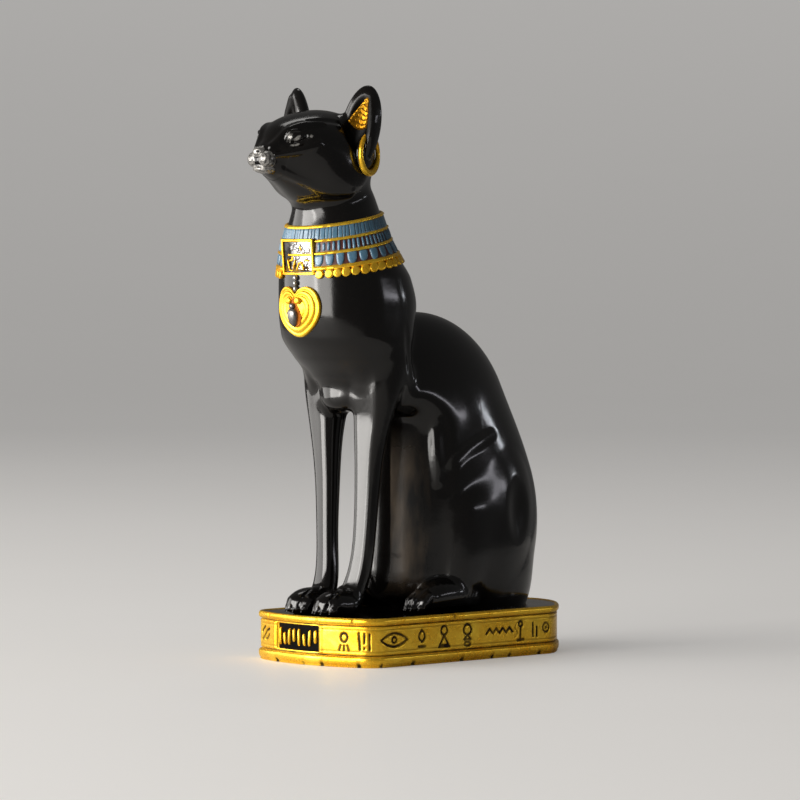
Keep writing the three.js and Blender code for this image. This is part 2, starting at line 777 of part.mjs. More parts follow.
const BAND_MIDDLE = (FOOT_HEIGHT + PLINTH_HEIGHT - RIM_HEIGHT) / 2;

// Rows of generic strokes along the left side, fewer on the hidden right side.
function bandStrokes() {
  const out = [];
  const pitch = 5.6;
  for (let i = 0; i < 18; i++) {
    const y = -48 + i * pitch;
    const tall = i % 3 === 0;
    const turn = [90, 62, 118, 90, 20, -25][i % 6];
    out.push(stroke(tall ? 8 : 5.4, 0.9, turn, y, BAND_MIDDLE + (i % 2 ? 1.1 : -0.8), 'left'));
    if (i % 2 === 0) out.push(stroke(4.2, 0.9, 0, y + 2.2, BAND_MIDDLE + (i % 4 ? 3.2 : -3.4), 'left'));
    if (i % 3 === 1) out.push(stroke(5.4, 0.9, 90, y, BAND_MIDDLE, 'right'));
  }
  return out;
}

// Blocks that sink the front panel, four in a row so that its floor keeps the bow.
function panelCutters() {
  const out = [];
  const width = PANEL_WIDTH / 4;
  for (let i = 0; i < 4; i++) {
    const x = PANEL_SIDE + (i - 1.5) * width;
    const seat = frontSeat(x);
    const cutter = new THREE.BoxGeometry(width + 0.3, 20, 13.2);
    cutter.translate(0, -10, 0);
    cutter.rotateZ(seat.turn);
    cutter.translate(x, seat.y + PANEL_DEPTH, BAND_MIDDLE);
    out.push(cutter);
  }
  return out;
}

// Raised strokes on the sunk panel in front.
function panelStrokes() {
  const out = [];
  for (let i = 0; i < 7; i++) {
    const x = PANEL_SIDE - PANEL_WIDTH / 2 + 4 + i * (PANEL_WIDTH - 8) / 6;
    out.push(stroke(7.4, 1.1, [90, 74, 90, 106][i % 4], x, BAND_MIDDLE, 'front'));
  }
  return out;
}

// Creases between the toes: upright blades round the front of a paw.
function toeBlades(x, y, z, spread, turn) {
  const out = [];
  for (let i = -1; i <= 1; i++) {
    const blade = new THREE.CylinderGeometry(6, 6, 0.8, 10, 1);
    blade.rotateZ(90 * RAD);
    blade.rotateZ(-i * 10 * RAD);
    blade.translate(i * spread, 0, 0);
    blade.rotateZ(turn * RAD);
    blade.translate(x, y, z);
    out.push(blade);
  }
  return out;
}

function hoop(side) {
  const ring = new THREE.TorusGeometry(HOOP.radius, HOOP.tube, 6, 22);
  const fill = new THREE.CylinderGeometry(HOOP.radius, HOOP.radius, 5.2, 22, 1);
  fill.rotateX(90 * RAD);
  fill.translate(0, 0, -2.8);
  const parts = [ring, fill].map((shape) => {
    shape.rotateX(90 * RAD);
    shape.rotateZ((90 + HOOP.turn) * RAD);
    shape.translate(...HOOP.at);
    return side < 0 ? mirrored(shape) : shape;
  });
  return parts;
}

function mirrored(shape) {
  const copy = shape.clone();
  copy.scale(-1, 1, 1);
  const index = copy.index.array;
  for (let i = 0; i < index.length; i += 3) {
    const keep = index[i];
    index[i] = index[i + 2];
    index[i + 2] = keep;
  }
  return copy;
}

function eyeSolid(side) {
  const ball = new THREE.SphereGeometry(1, 10, 6);
  ball.scale(5.6, 1.9, 2.9);
  ball.rotateY(-EYE.tilt);
  ball.rotateZ(EYE.turn);
  ball.translate(EYE.at[0] - 0.7, EYE.at[1] + 0.8, EYE.at[2]);
  return side < 0 ? mirrored(ball) : ball;
}

const wasm = await Module();
wasm.setup();

function solid(geometry) {
  geometry.deleteAttribute('normal');
  geometry.deleteAttribute('uv');
  const merged = mergeVertices(geometry, 1e-4);
  return new wasm.Manifold(new wasm.Mesh({
    numProp: 3,
    vertProperties: Float32Array.from(merged.attributes.position.array),
    triVerts: Uint32Array.from(merged.index.array),
  }));
}

function join(body, shapes) {
  return shapes.reduce((sum, shape) => sum.add(solid(shape)), body);
}

function cutAway(body, shapes) {
  return shapes.reduce((rest, shape) => rest.subtract(solid(shape)), body);
}

const top = EAR.at[2] + EAR.up + 6;
const net = netSurface(figure, [-40, -100, PLINTH_TOP - 5], [40, 84, top], CELL);
settle(net, figure, 3);
// Where the form is finer, a deviation counts for more.
function fineness(x, y, z) {
  if (z > 210 && y < -72) return 40;
  if (z > 210) return 8;
  return z < 45 && y < -30 ? 4 : 1;
}

const thinned = new Thinner(net, fineness).thin(FORM_TRIANGLES);
let cast = solid(toGeometry(thinned.points, thinned.faces));

cast = cutAway(cast, [
  ...toeBlades(9, -57.5, 27, TOE_GAP, 0),
  ...toeBlades(-9, -57.5, 27, TOE_GAP, 0),
  ...toeBlades(24, -15.5, 26.5, 3.2, 8),
  ...toeBlades(-24, -15.5, 26.5, 3.2, -8),
]);
cast = join(cast, [collar(), heart()]);
for (let i = 0; i < BEAD_COUNT; i++) {
  const angle = 2 * Math.PI * (i + 0.5) / BEAD_COUNT;
  cast = cast.add(solid(bead(onNeck(COLLAR_LEVELS[3] - 2.6, angle, 0.5), BEAD_RADIUS)));
}
// The plaque leans with the chest; its two windows are sunk in its face.
function plaquePart(width, depth, height, out, up) {
  const part = new THREE.BoxGeometry(width, depth, height);
  part.translate(0, -out, up);
  part.rotateX(-PLAQUE.lean * RAD);
  part.translate(0, onChest(0, PLAQUE.z, 0)[1], PLAQUE.z);
  return part;
}

cast = join(cast, [plaquePart(PLAQUE.width, 8, PLAQUE.height, PLAQUE.proud - 4, 0)]);
const window = PLAQUE.width - 2 * PLAQUE.frame;
cast = cutAway(cast, [
  plaquePart(window, 2 * PLAQUE.sunk, 8.6, PLAQUE.proud, -2),
  plaquePart(window, 2 * PLAQUE.sunk, 2.4, PLAQUE.proud, 4.9),
]);
cast = join(cast, [block(2.2, 4, 6, 0, onChest(0, 168, 0)[1] + 0.6, 168.5)]);
for (const side of [1, -1]) cast = join(cast, [...hoop(side), eyeSolid(side)]);

let base = solid(plinth());
base = cutAway(base, [
  ...panelCutters(),
  ...bandStrokes(),
]);
base = join(base, panelStrokes());

const scaled = cast.getMesh();
const figureGeometry = toGeometry(Array.from(scaled.vertProperties, (c) => c * UNIT), scaled.triVerts);
const joined = base.add(solid(figureGeometry)).getMesh();
const rough = { points: joined.vertProperties, faces: joined.triVerts };
const whole = new Thinner(rough, fineness).thin(SOLID_TRIANGLES);
const geometry = toGeometry(whole.points, whole.faces);
geometry.computeBoundingBox();
const box = geometry.boundingBox;
geometry.translate(-(box.min.x + box.max.x) / 2, -(box.min.y + box.max.y) / 2, -box.min.z);
geometry.computeVertexNormals();

const lacquer = new THREE.MeshStandardMaterial({ color: 0x15110f, roughness: 0.22, metalness: 0 });
const cat = new THREE.Mesh(geometry, lacquer);
cat.name = 'cat_figure';

const group = new THREE.Group();
group.name = 'bastet_cat';
group.add(cat);

export default group;
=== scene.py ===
"""A seated Egyptian cat: one black lacquered casting with painted trim, on its gold plinth."""

import logging
import math
from collections.abc import Callable, Sequence
from dataclasses import dataclass, field
from enum import Enum
from typing import ClassVar, NamedTuple

import bpy
import numpy as np
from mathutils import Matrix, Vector


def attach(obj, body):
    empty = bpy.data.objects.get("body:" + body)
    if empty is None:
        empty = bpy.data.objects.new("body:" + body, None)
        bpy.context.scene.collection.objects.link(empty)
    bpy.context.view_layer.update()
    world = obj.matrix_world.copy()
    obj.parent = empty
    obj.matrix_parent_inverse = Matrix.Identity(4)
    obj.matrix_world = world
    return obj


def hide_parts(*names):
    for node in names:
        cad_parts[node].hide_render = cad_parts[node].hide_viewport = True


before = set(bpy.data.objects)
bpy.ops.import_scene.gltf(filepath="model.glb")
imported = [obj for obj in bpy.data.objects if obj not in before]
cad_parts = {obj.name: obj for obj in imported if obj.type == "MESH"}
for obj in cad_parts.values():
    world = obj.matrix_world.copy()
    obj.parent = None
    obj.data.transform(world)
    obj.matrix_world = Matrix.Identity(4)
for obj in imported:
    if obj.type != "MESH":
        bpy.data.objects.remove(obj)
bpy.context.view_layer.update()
log = logging.getLogger("bastet_cat")

Array = np.ndarray
Points = tuple[Array, Array, Array]
Triple = tuple[float, float, float]
Steps = Sequence[tuple[float, float]]
Placer = Callable[[Array, Array, Array], Array]
Thing = bpy.types.Object
Socket = bpy.types.NodeSocket
Tree = bpy.types.NodeTree

# The figure is laid out in millimetres about the middle of the plinth's straight sides.
# X is the cat's left, -Y the way it faces, Z up. The row frame lies this far along Y.
ROW_SHIFT = 3.93
MM = 0.001
PLINTH_TOP = 21.7


class Slot(Enum):
    """The record's material slots."""

    BLACK = "black_lacquer"
    GOLD = "gold_paint"
    BLUE = "blue_paint"
    RED = "red_paint"
    SILVER = "silver_paint"


class Finish(NamedTuple):
    """A made material and the slot of the record that it belongs to."""

    slot: Slot
    material: bpy.types.Material


def blend(a: Array, b: Array, k: float) -> Array:
    """Joins two signed distances with a fillet of about k."""
    h = np.maximum(k - np.abs(a - b), 0) / k
    return np.minimum(a, b) - h * h * (k / 4)


def carve(a: Array, b: Array, k: float) -> Array:
    """Cuts b out of a, with an edge rounded by about k."""
    return -blend(-a, b, k)


def eased(a: Array, b: Array, c: Array, d: Array, t: Array) -> Array:
    """A smooth run from b to c, steered by the points before and after them.

    Args:
        a: The point before.
        b: Where the run starts.
        c: Where it ends.
        d: The point after.
        t: Shares of the run, from 0 to 1.

    Returns:
        Values along the run.
    """
    bend = 2 * a - 5 * b + 4 * c - d
    twist = 3 * b - a - 3 * c + d
    return 0.5 * (2 * b + (c - a) * t + bend * t ** 2 + twist * t ** 3)


def smooth_loop(points: Steps, fine: int) -> Array:
    """A closed smooth curve through points, with a number of short runs between each pair.

    Args:
        points: Rows of coordinates in order round the curve.
        fine: Short runs between two points.

    Returns:
        Points of the curve, one a row.
    """
    rows = np.array(points, float)
    t = (np.arange(fine) / fine)[None, :, None]
    around = [np.roll(rows, k, 0)[:, None] for k in (1, 0, -1, -2)]
    return eased(*around, t).reshape(-1, rows.shape[1])


def turned(a: Array, b: Array, angle: float) -> tuple[Array, Array]:
    """Reads a pair of coordinates in axes that are turned by an angle in degrees.

    Args:
        a: The first coordinate.
        b: The second.
        angle: How far the axes are turned.

    Returns:
        Both coordinates in the turned axes.
    """
    c = math.cos(math.radians(angle))
    s = math.sin(math.radians(angle))
    return a * c + b * s, b * c - a * s


@dataclass(frozen=True)
class Egg:
    """An ellipsoid, which may turn about Z and then lean about X or tip about Y (degrees)."""

    centre: Triple
    radii: Triple
    lean: float = 0.0
    turn: float = 0.0
    tip: float = 0.0

    def distance(self, p: Points) -> Array:
        """Signed distance, close to exact near the surface.

        Args:
            p: Points of the layout.

        Returns:
            One distance a point.
        """
        x, y, z = (c - o for c, o in zip(p, self.centre))
        if self.turn:
            x, y = turned(x, y, self.turn)
        if self.lean:
            y, z = turned(y, z, self.lean)
        if self.tip:
            x, z = turned(x, z, self.tip)
        u, v, w = (c / r for c, r in zip((x, y, z), self.radii))
        k0 = np.sqrt(u * u + v * v + w * w)
        u, v, w = (c / r for c, r in zip((u, v, w), self.radii))
        return k0 * (k0 - 1) / (np.sqrt(u * u + v * v + w * w) + 1e-6)

    def box(self) -> tuple[Array, Array]:
        """Corners of a box that holds the shape."""
        reach = np.array(self.radii) if not (self.lean or self.turn or self.tip) else max(self.radii)
        return np.array(self.centre) - reach, np.array(self.centre) + reach


@dataclass(frozen=True)
class Limb:
    """A round rod through points, each with its own radius, as straight runs or one smooth curve."""

    joints: Sequence[tuple[float, float, float, float]]
    soft: float = 0.0
    fine: int = 0

    def runs(self) -> Array:
        """The points and radii of the rod; a fine rod has that many short runs between joints.

        Returns:
            Rows of x, y, z and radius.
        """
        rows = np.array(self.joints, float)
        if not self.fine:
            return rows
        padded = np.vstack([2 * rows[0] - rows[1], rows, 2 * rows[-1] - rows[-2]])
        t = (np.arange(self.fine) / self.fine)[:, None]
        out = [eased(*around, t) for around in zip(padded[:-3], padded[1:-2], padded[2:-1], padded[3:])]
        return np.vstack([*out, rows[-1:]])

    def distance(self, p: Points) -> Array:
        """Signed distance to the rod.

        Args:
            p: Points of the layout.

        Returns:
            One distance a point.
        """
        total = None
        rows = self.runs()
        for a, b in zip(rows[:-1], rows[1:]):
            q = [c - o for c, o in zip(p, a)]
            d = b[:3] - a[:3]
            h = np.clip(sum(c * e for c, e in zip(q, d)) / (d @ d), 0, 1)
            part = np.sqrt(sum((c - h * e) ** 2 for c, e in zip(q, d))) - (a[3] + (b[3] - a[3]) * h)
            if total is None:
                total = part
            else:
                total = blend(total, part, self.soft) if self.soft else np.minimum(total, part)
        return total

    def box(self) -> tuple[Array, Array]:
        """Corners of a box that holds the rod."""
        rows = self.runs()
        return np.min(rows[:, :3] - rows[:, 3:], axis=0), np.max(rows[:, :3] + rows[:, 3:], axis=0)


@dataclass(frozen=True)
class Special:
    """A form written as a function, with the box that holds it."""

    function: Callable[[Points], Array]
    low: Triple
    high: Triple

    def distance(self, p: Points) -> Array:
        """Signed distance to the form."""
        return self.function(p)

    def box(self) -> tuple[Array, Array]:
        """Corners of a box that holds the form."""
        return np.array(self.low), np.array(self.high)


@dataclass(frozen=True)
class Lump:
    """One mass of a form and the way it meets what is already there."""

    shape: Egg | Limb | Special
    soft: float
    both: bool = True
    cut: bool = False


@dataclass(frozen=True)
class Paw:
    """Four toes with their claws, and the creases between them; rows of y, z and radius."""

    middle: float
    spread: float
    root: float
    soft: float
    toe: tuple[Triple, ...]
    claw: tuple[Triple, ...]
    crease: tuple[Triple, ...]

    # How far each toe stands across the paw and behind the foremost.
    TOES: ClassVar[tuple[tuple[float, float], ...]] = ((-5.3, 1.9), (-1.9, 0), (1.9, 0.1), (5.3, 2.2))

    def digit(self, number: int) -> list[Lump]:
        """One toe, which starts a little nearer the paw's middle, and its claw.

        Args:
            number: Which toe, from the inner one.

        Returns:
            The toe and the claw.
        """
        across, back = self.TOES[number]
        x = self.middle + across * self.spread
        knuckle = (self.middle + across * self.root, *self.toe[0])
        toe = Limb((knuckle, *((x, y + back, z, r) for y, z, r in self.toe[1:])), 1)
        claw = Limb(tuple((x, y + back, z, r) for y, z, r in self.claw))
        return [Lump(toe, self.soft), Lump(claw, 0.4)]

    def gap(self, number: int) -> Lump:
        """The crease between a toe and the next one."""
        x = self.middle + (self.TOES[number][0] + self.TOES[number + 1][0]) / 2 * self.spread
        return Lump(Limb(tuple((x, *row) for row in self.crease)), 0.8, cut=True)


@dataclass(frozen=True)
class Form:
    """Lumps joined in order. A lump with `both` stands on both sides of the cat."""

    lumps: Sequence[Lump]
    reach: float = 5.0

    def distance(self, p: Points) -> Array:
        """Signed distance to the joined form.

        Args:
            p: Points of the layout.

        Returns:
            One distance a point.
        """
        x, y, z = p
        total = np.full_like(x, 60.0)
        mirrored = np.abs(x)
        for lump in self.lumps:
            low, high = lump.shape.box()
            margin = self.reach + lump.soft
            across = mirrored if lump.both else x
            near = (z > low[2] - margin) & (z < high[2] + margin)
            near &= (y > low[1] - margin) & (y < high[1] + margin)
            near &= (across > low[0] - margin) & (across < high[0] + margin)
            if not near.any():
                continue
            part = lump.shape.distance((across[near], y[near], z[near]))
            total[near] = (carve if lump.cut else blend)(total[near], part, lump.soft)
        return total

    def box(self) -> tuple[Array, Array]:
        """Corners of a box that holds the form on both sides.

        Returns:
            The lowest and the highest corner.
        """
        boxes = [lump.shape.box() for lump in self.lumps if not lump.cut]
        low = np.min([b[0] for b in boxes], axis=0)
        high = np.max([b[1] for b in boxes], axis=0)
        low[0] = -high[0]
        return low, high


class Column:
    """Neck and chest: ellipses stacked along Z, with a smooth curve through the stations."""

    stations = np.array([
        (118, -34, 15, 12), (127, -33, 22, 17), (135, -35, 27.5, 22), (145, -36.8, 30.5, 27.8),
        (158, -36.4, 30.6, 30.6), (170, -38.0, 29.6, 29.2), (180, -41.2, 27, 25.3), (188, -43, 23.4, 23.2),
        (197, -43.4, 20, 20.8), (205, -44, 17, 19), (216, -46, 15, 15), (230, -48, 12, 13),
    ], float)

    def __init__(self) -> None:
        """Works out the slope of the curve at each station."""
        levels = self.stations[:, 0]
        steps = np.diff(self.stations[:, 1:], axis=0) / np.diff(levels)[:, None]
        left, right = steps[:-1], steps[1:]
        product = left * right
        inner = np.where(product > 0, 2 * product / np.where(product > 0, left + right, 1), 0)
        self.slopes = np.vstack([np.zeros(3), inner, np.zeros(3)])

    def at(self, z: Array) -> Array:
        """Centre and half sizes at each level.

        Args:
            z: Levels.

        Returns:
            Middle in Y, half width and half depth, one row a level.
        """
        levels = self.stations[:, 0]
        i = np.clip(np.searchsorted(levels, z) - 1, 0, len(levels) - 2)
        h = levels[i + 1] - levels[i]
        t = (np.clip((z - levels[i]) / h, 0, 1))[:, None]
        h = h[:, None]
        a, b = self.stations[i, 1:], self.stations[i + 1, 1:]
        return ((2 * t ** 3 - 3 * t ** 2 + 1) * a + (t ** 3 - 2 * t ** 2 + t) * h * self.slopes[i]
                + (3 * t ** 2 - 2 * t ** 3) * b + (t ** 3 - t ** 2) * h * self.slopes[i + 1])

    def distance(self, p: Points) -> Array:
        """Signed distance to the stacked ellipses.

        Args:
            p: Points of the layout.

        Returns:
            One distance a point.
        """
        x, y, z = p
        middle, a, b = self.at(z).T
        u = x / a
        v = (y - middle) / b
        k0 = np.sqrt(u * u + v * v)
        side = k0 * (k0 - 1) / (np.sqrt((u / a) ** 2 + (v / b) ** 2) + 1e-6)
        side = np.where(k0 < 1e-4, -np.minimum(a, b), side)
        ends = np.maximum(self.stations[0, 0] - z, z - self.stations[-1, 0])
        return carve(side, -ends, 10)


@dataclass(frozen=True)
class Ear:
    """A leaf that leans outwards, hollowed in front and ridged inside."""

    centre: Triple = (19.6, -47.0, 236.0)
    turn: float = 21.0
    lean: float = 13.0
    half: float = 9.3
    up: float = 19.5
    down: float = 17.5
    thick: float = 4.4

    def local(self, p: Points) -> Points:
        """Across, through and up the ear.

        Args:
            p: Points of the layout.

        Returns:
            The three coordinates.
        """
        x, y, z = (c - o for c, o in zip(p, self.centre))
        across, through = turned(x, y, self.turn)
        across, up = turned(across, z, -self.lean)
        return across, through, up

    def place(self, across: Array, through: Array, up: Array) -> Array:
        """Points of the layout from the ear's own coordinates.

        Args:
            across: Across the ear.
            through: Towards its back.
            up: Towards its tip.

        Returns:
            One point a row.
        """
        side, z = turned(across, up, self.lean)
        x, y = turned(side, through, -self.turn)
        return np.stack([x, y, z], -1) + self.centre

    def leaf(self, p: Points) -> Array:
        """Signed distance to the solid leaf.

        Args:
            p: Points of the layout.

        Returns:
            One distance a point.
        """
        u, v, w = self.local(p)
        n = np.where(w > 0, 1.95, 2.3)
        outline = (np.abs(u) / self.half) ** n + (np.abs(w) / np.where(w > 0, self.up, self.down)) ** n
        return (np.sqrt(outline ** (2 / n) + (v / self.thick) ** 2) - 1) * self.thick

    def hollow(self, p: Points) -> Array:
        """Signed distance to the hollow in front."""
        return Egg((0.4, -5.2, 2.2), (5.4, 4.6, 13.2), turn=14).distance(self.local(p))

    def ridge(self, p: Points) -> Array:
        """Signed distance to the thick outer edge, which curls forward.

        Args:
            p: Points of the layout.

        Returns:
            One distance a point.
        """
        rim = Limb((
            (6.2, -2.2, -10.5, 1.7), (6.6, -3.0, -2.0, 2.2), (5.6, -2.8, 7.0, 2.0),
            (2.6, -1.5, 15.0, 1.1),
        ), fine=3)
        return rim.distance(self.local(p))


@dataclass(frozen=True)
class Eye:
    """An almond ball between raised lids, on the slope of the face."""

    centre: Triple = (11.6, -79.0, 232.2)
    turn: float = 44.0
    tilt: float = 14.0

    def local(self, p: Points) -> Points:
        """Along the eye to its outer corner, inwards, and up.

        Args:
            p: Points of the layout.

        Returns:
            The three coordinates.
        """
        x, y, z = (c - o for c, o in zip(p, self.centre))
        along, inwards = turned(x, y, self.turn)
        along, up = turned(along, z, self.tilt)
        return along, inwards, up

    def socket(self, p: Points) -> Array:
        """Signed distance to the shallow hollow round the eye."""
        return Egg((0.4, -2.4, -0.4), (6.4, 4.4, 3.9), tip=-8).distance(self.local(p))

    def ball(self, p: Points) -> Array:
        """Signed distance to the ball."""
        return Egg((0.2, 1.9, -0.2), (4.9, 2.7, 2.5), tip=-8).distance(self.local(p))

    def lids(self, p: Points) -> Array:
        """Signed distance to both lids, the line to the nose and the tail.

        Args:
            p: Points of the layout.

        Returns:
            One distance a point.
        """
        q = self.local(p)
        upper = Limb(((-5.2, 0.9, -1.6, 0.35), (-3.4, 0.4, 1.2, 0.55), (-0.6, 0.2, 2.7, 0.75),
                      (2.6, 0.7, 2.0, 0.65), (5.2, 1.6, 0.4, 0.4), (7.2, 2.4, -1.2, 0.3)), fine=3)
        lower = Limb(((-7.8, 2.4, -3.0, 0.2), (-5.2, 1.0, -1.7, 0.35), (-2.6, 0.6, -2.9, 0.45),
                      (0.8, 0.6, -3.2, 0.5), (4.0, 1.3, -2.4, 0.4), (7.2, 2.4, -1.2, 0.3)), fine=3)
        return np.minimum(upper.distance(q), lower.distance(q))

    def paint(self, p: Points) -> Array:
        """Silver strokes laid where the eye's highlights fall, so partly painted highlights: two strokes, a
        blob, the lower lid's line and the outer corner's dot.

        Args:
            p: Points of the layout.

        Returns:
            More than 0 inside a stroke.
        """
        x, y, z = self.local(p)
        q = (x, 0 * y, z)
        strokes = (
            Limb(((-3.8, 0, -1.2, 0.2), (-2.6, 0, 1.0, 0.4), (-1.7, 0, 1.8, 0.2)), fine=2),
            Limb(((-2.9, 0, -1.8, 0.2), (-1.9, 0, 0.2, 0.42), (-0.9, 0, 1.3, 0.2)), fine=2),
            Limb(((-0.2, 0, -1.3, 0.5), (1.1, 0, -0.9, 0.75), (2.2, 0, -0.3, 0.3)), fine=2),
            Limb(((-2.6, 0, -3.3, 0.2), (-0.6, 0, -3.6, 0.35), (0.9, 0, -3.5, 0.2)), fine=2),
            Egg((7.0, 0, -1.5), (0.6, 0.6, 0.6)),
        )
        shade = -strokes[0].distance(q)
        for stroke in strokes[1:]:
            shade = np.maximum(shade, -stroke.distance(q))
        return np.minimum(shade, 3.2 - np.abs(y - 1.0))


class Cat:
    """The whole seated figure as one signed distance, with the finer marks of the casting."""

    def __init__(self) -> None:
        """Gathers the lumps of the body, the feet and the head."""
        self.column = Column()
        self.pad = Egg((3.9, -88.1, 222.3), (3.3, 3.7, 3.6))
        self.nose = Egg((0, -89.6, 225.6), (3.1, 2.75, 2.5))
        self.chin = Egg((0, -86.6, 218.3), (5.4, 4.6, 2.0))
        self.ear = Ear()
        self.eye = Eye()
        self.head = self._head()
        self.form = Form([*self._body(), *self._feet(), self._head_lump()])

    def _trunk(self, p: Points) -> Array:
        """Back and flank: a great egg cut square behind the front legs.

        Args:
            p: Points of the layout.

        Returns:
            One distance a point.
        """
        x, y, z = p
        qx = np.abs(x) - 68
        qy = np.abs(y + 70) - 54
        qz = np.abs(z - 60) - 39
        outside = np.sqrt(np.maximum(qx, 0) ** 2 + np.maximum(qy, 0) ** 2 + np.maximum(qz, 0) ** 2)
        block = outside + np.minimum(np.maximum(np.maximum(qx, qy), qz), 0) - 12
        return carve(Egg((0, 4, 95), (29, 56, 60)).distance(p), block, 12)

    @staticmethod
    def _web(p: Points) -> Array:
        """The belly down to the plinth: a blunt wedge that points forward between the legs.

        Args:
            p: Points of the layout.

        Returns:
            One distance a point.
        """
        x, y, z = p
        across = np.sqrt(x * x + 16)
        wedge = carve(0.574 * across - 0.819 * y - 21.4, 21.5 - np.abs(x), 8)
        wedge = carve(wedge, 47 - np.abs(z - 71), 16)
        return np.maximum(wedge, y - 15)

    def _thigh(self, p: Points) -> Array:
        """The haunch muscle with the leg under it.

        Args:
            p: Points of the layout.

        Returns:
            One distance a point.
        """
        muscle = Egg((18.5, 30, 60), (13, 27, 38), lean=-14).distance(p)
        shank = Limb(((20.5, 13, 66, 9), (20.5, 10, 36, 7.5))).distance(p)
        return blend(muscle, shank, 12)

    def _body(self) -> list[Lump]:
        """Trunk, haunches, chest, shoulders, front legs and thighs.

        Returns:
            The lumps, in the order in which they join.
        """
        foreleg = Limb((
            (16, -31, 134, 12.8), (15.8, -32.2, 123, 11.4), (15.2, -34.4, 112, 9.3), (14.5, -35.4, 103, 7.8),
            (13.3, -36.4, 85, 6.1), (12.7, -36.9, 70, 5.4), (11.8, -37.9, 52, 5.1), (10.5, -39.2, 40, 5.4),
            (9.2, -42.5, 31, 6),
        ), fine=5)
        rows = foreleg.runs()
        levels = rows[:, 2]
        low, high = foreleg.box()
        curves = [np.polynomial.Polynomial.fit(levels, rows[:, i], 7) for i in (0, 1, 3)]

        def flattened(p: Points) -> Array:
            """The leg as one smooth rod, with its front planed to a flat face that has soft edges.

            Args:
                p: Points of the layout.

            Returns:
                One distance a point.
            """
            held = np.clip(p[2], levels[-1], levels[0])
            side, middle, radius = (curve(held) for curve in curves)
            across, along = p[0] - side, p[1] - middle
            rod = np.sqrt(across ** 2 + along ** 2 + (p[2] - held) ** 2) - radius
            share = np.clip((130 - held) / 26, 0, 1)
            share = share * share * (3 - 2 * share)
            ahead = 0.156 * across - 0.988 * along
            return -blend(-rod, -(ahead - radius * (1.02 - 0.26 * share)), 1.6)

        elbow_crease = Limb(
            ((33.6, -28.4, 149, 3), (31.3, -26, 139, 3), (29.4, -23.2, 131.5, 3), (28.2, -19.5, 121, 3)),
            fine=4,
        )
        knob = Limb(((15.2, -43.5, 131.5, 2.6), (15.0, -41.0, 124, 1.8)), fine=2)
        haunch = Limb((
            (30.1, -3.4, 76.0, 5), (30.8, -1.4, 82.4, 5), (32.8, 2.2, 87.6, 5), (33.7, 10, 93, 5),
            (33.1, 20, 97.4, 5), (32.4, 28, 100.4, 5), (33.2, 38, 104, 5),
        ), fine=4)
        belly_fold = Limb(
            ((23.0, -3.4, 106, 0.1), (23.6, -4.4, 98, 0.6), (24.0, -3.9, 89, 0.7), (24.0, -2.6, 80, 0.2)),
            fine=4,
        )
        return [
            Lump(Special(self._trunk, (-29, -52, 35), (29, 60, 155)), 1, both=False),
            Lump(Egg((0, 32, 60), (29.8, 43, 58)), 10, both=False),
            Lump(Special(self._web, (-22, -26, 24), (22, 15, 118)), 7, both=False),
            Lump(Egg((0, 36, 30), (25, 33.5, 28)), 8, both=False),
            Lump(Special(self.column.distance, (-31, -68, 118), (31, -8, 230)), 5, both=False),
            Lump(Egg((16.5, -32, 146), (12.3, 15, 25)), 3.5),
            Lump(Special(flattened, tuple(low), tuple(high)), 3),
            Lump(knob, 5),
            Lump(Egg((18.6, -22.4, 126.5), (6, 5.4, 8)), 5),
            Lump(Special(self._thigh, (4, 0, 20), (33, 62, 100)), 2.5),
            Lump(belly_fold, 5.0),
            Lump(elbow_crease, 1.6, cut=True),
            Lump(haunch, 1.8, cut=True),
            Lump(Egg((35.4, 43.5, 66), (7.0, 8.0, 15)), 4.5, cut=True),
        ]

    @staticmethod
    def _feet() -> list[Lump]:
        """Front paws, hind feet with their toes and claws, and the tail along the right haunch.

        Returns:
            The lumps, in the order in which they join.
        """
        sole = Limb(
            ((23.6, -13.5, 26.8, 5.4), (23.8, -4, 28.6, 6.9), (23.0, 6, 28.6, 6.9), (21.5, 16, 27, 5.2)),
            fine=4,
        )
        lumps = [Lump(Egg((9, -50.5, 26.2), (8.4, 12, 6.8)), 2.5), Lump(sole, 2.5)]
        front = Paw(
            middle=9.0, spread=1.0, root=0.86, soft=1.2,
            toe=((-53, 28.2, 2.4), (-58.6, 26.6, 2.4), (-60.6, 24.2, 2.0)),
            claw=((-62.2, 24.0, 0.75), (-63.3, 22.6, 0.35)),
            crease=((-53.5, 32.6, 0.35), (-58.6, 29.4, 0.55), (-62.2, 24.5, 0.6)),
        )
        hind = Paw(
            middle=23.7, spread=0.82, root=0.82, soft=1.1,
            toe=((-13.5, 28.6, 2.1), (-18.2, 26.4, 2.1), (-19.8, 24.0, 1.7)),
            claw=((-21.2, 23.8, 0.65), (-22.2, 22.5, 0.3)),
            crease=((-13.0, 32.2, 0.3), (-18.2, 29.0, 0.5), (-21.2, 24.5, 0.55)),
        )
        for number in range(len(Paw.TOES)):
            lumps += [*front.digit(number), *hind.digit(number)]
            if number + 1 < len(Paw.TOES):
                lumps += [front.gap(number), hind.gap(number)]
        tail = Limb((
            (-4, 66, 27, 5.6), (-20, 56, 26.6, 5.3), (-29, 36, 26.2, 4.9), (-31.5, 12, 25.8, 4.4),
            (-30.5, -10, 25.4, 3.6),
        ), fine=6)
        return [*lumps, Lump(tail, 1.5, both=False)]

    def _muzzle(self, p: Points) -> Array:
        """The tapering snout, a little flattened at its sides."""
        x, y, z = p
        return Limb(((0, -66, 222, 12.6), (0, -85, 223.2, 6))).distance((x * 0.95, y, z))

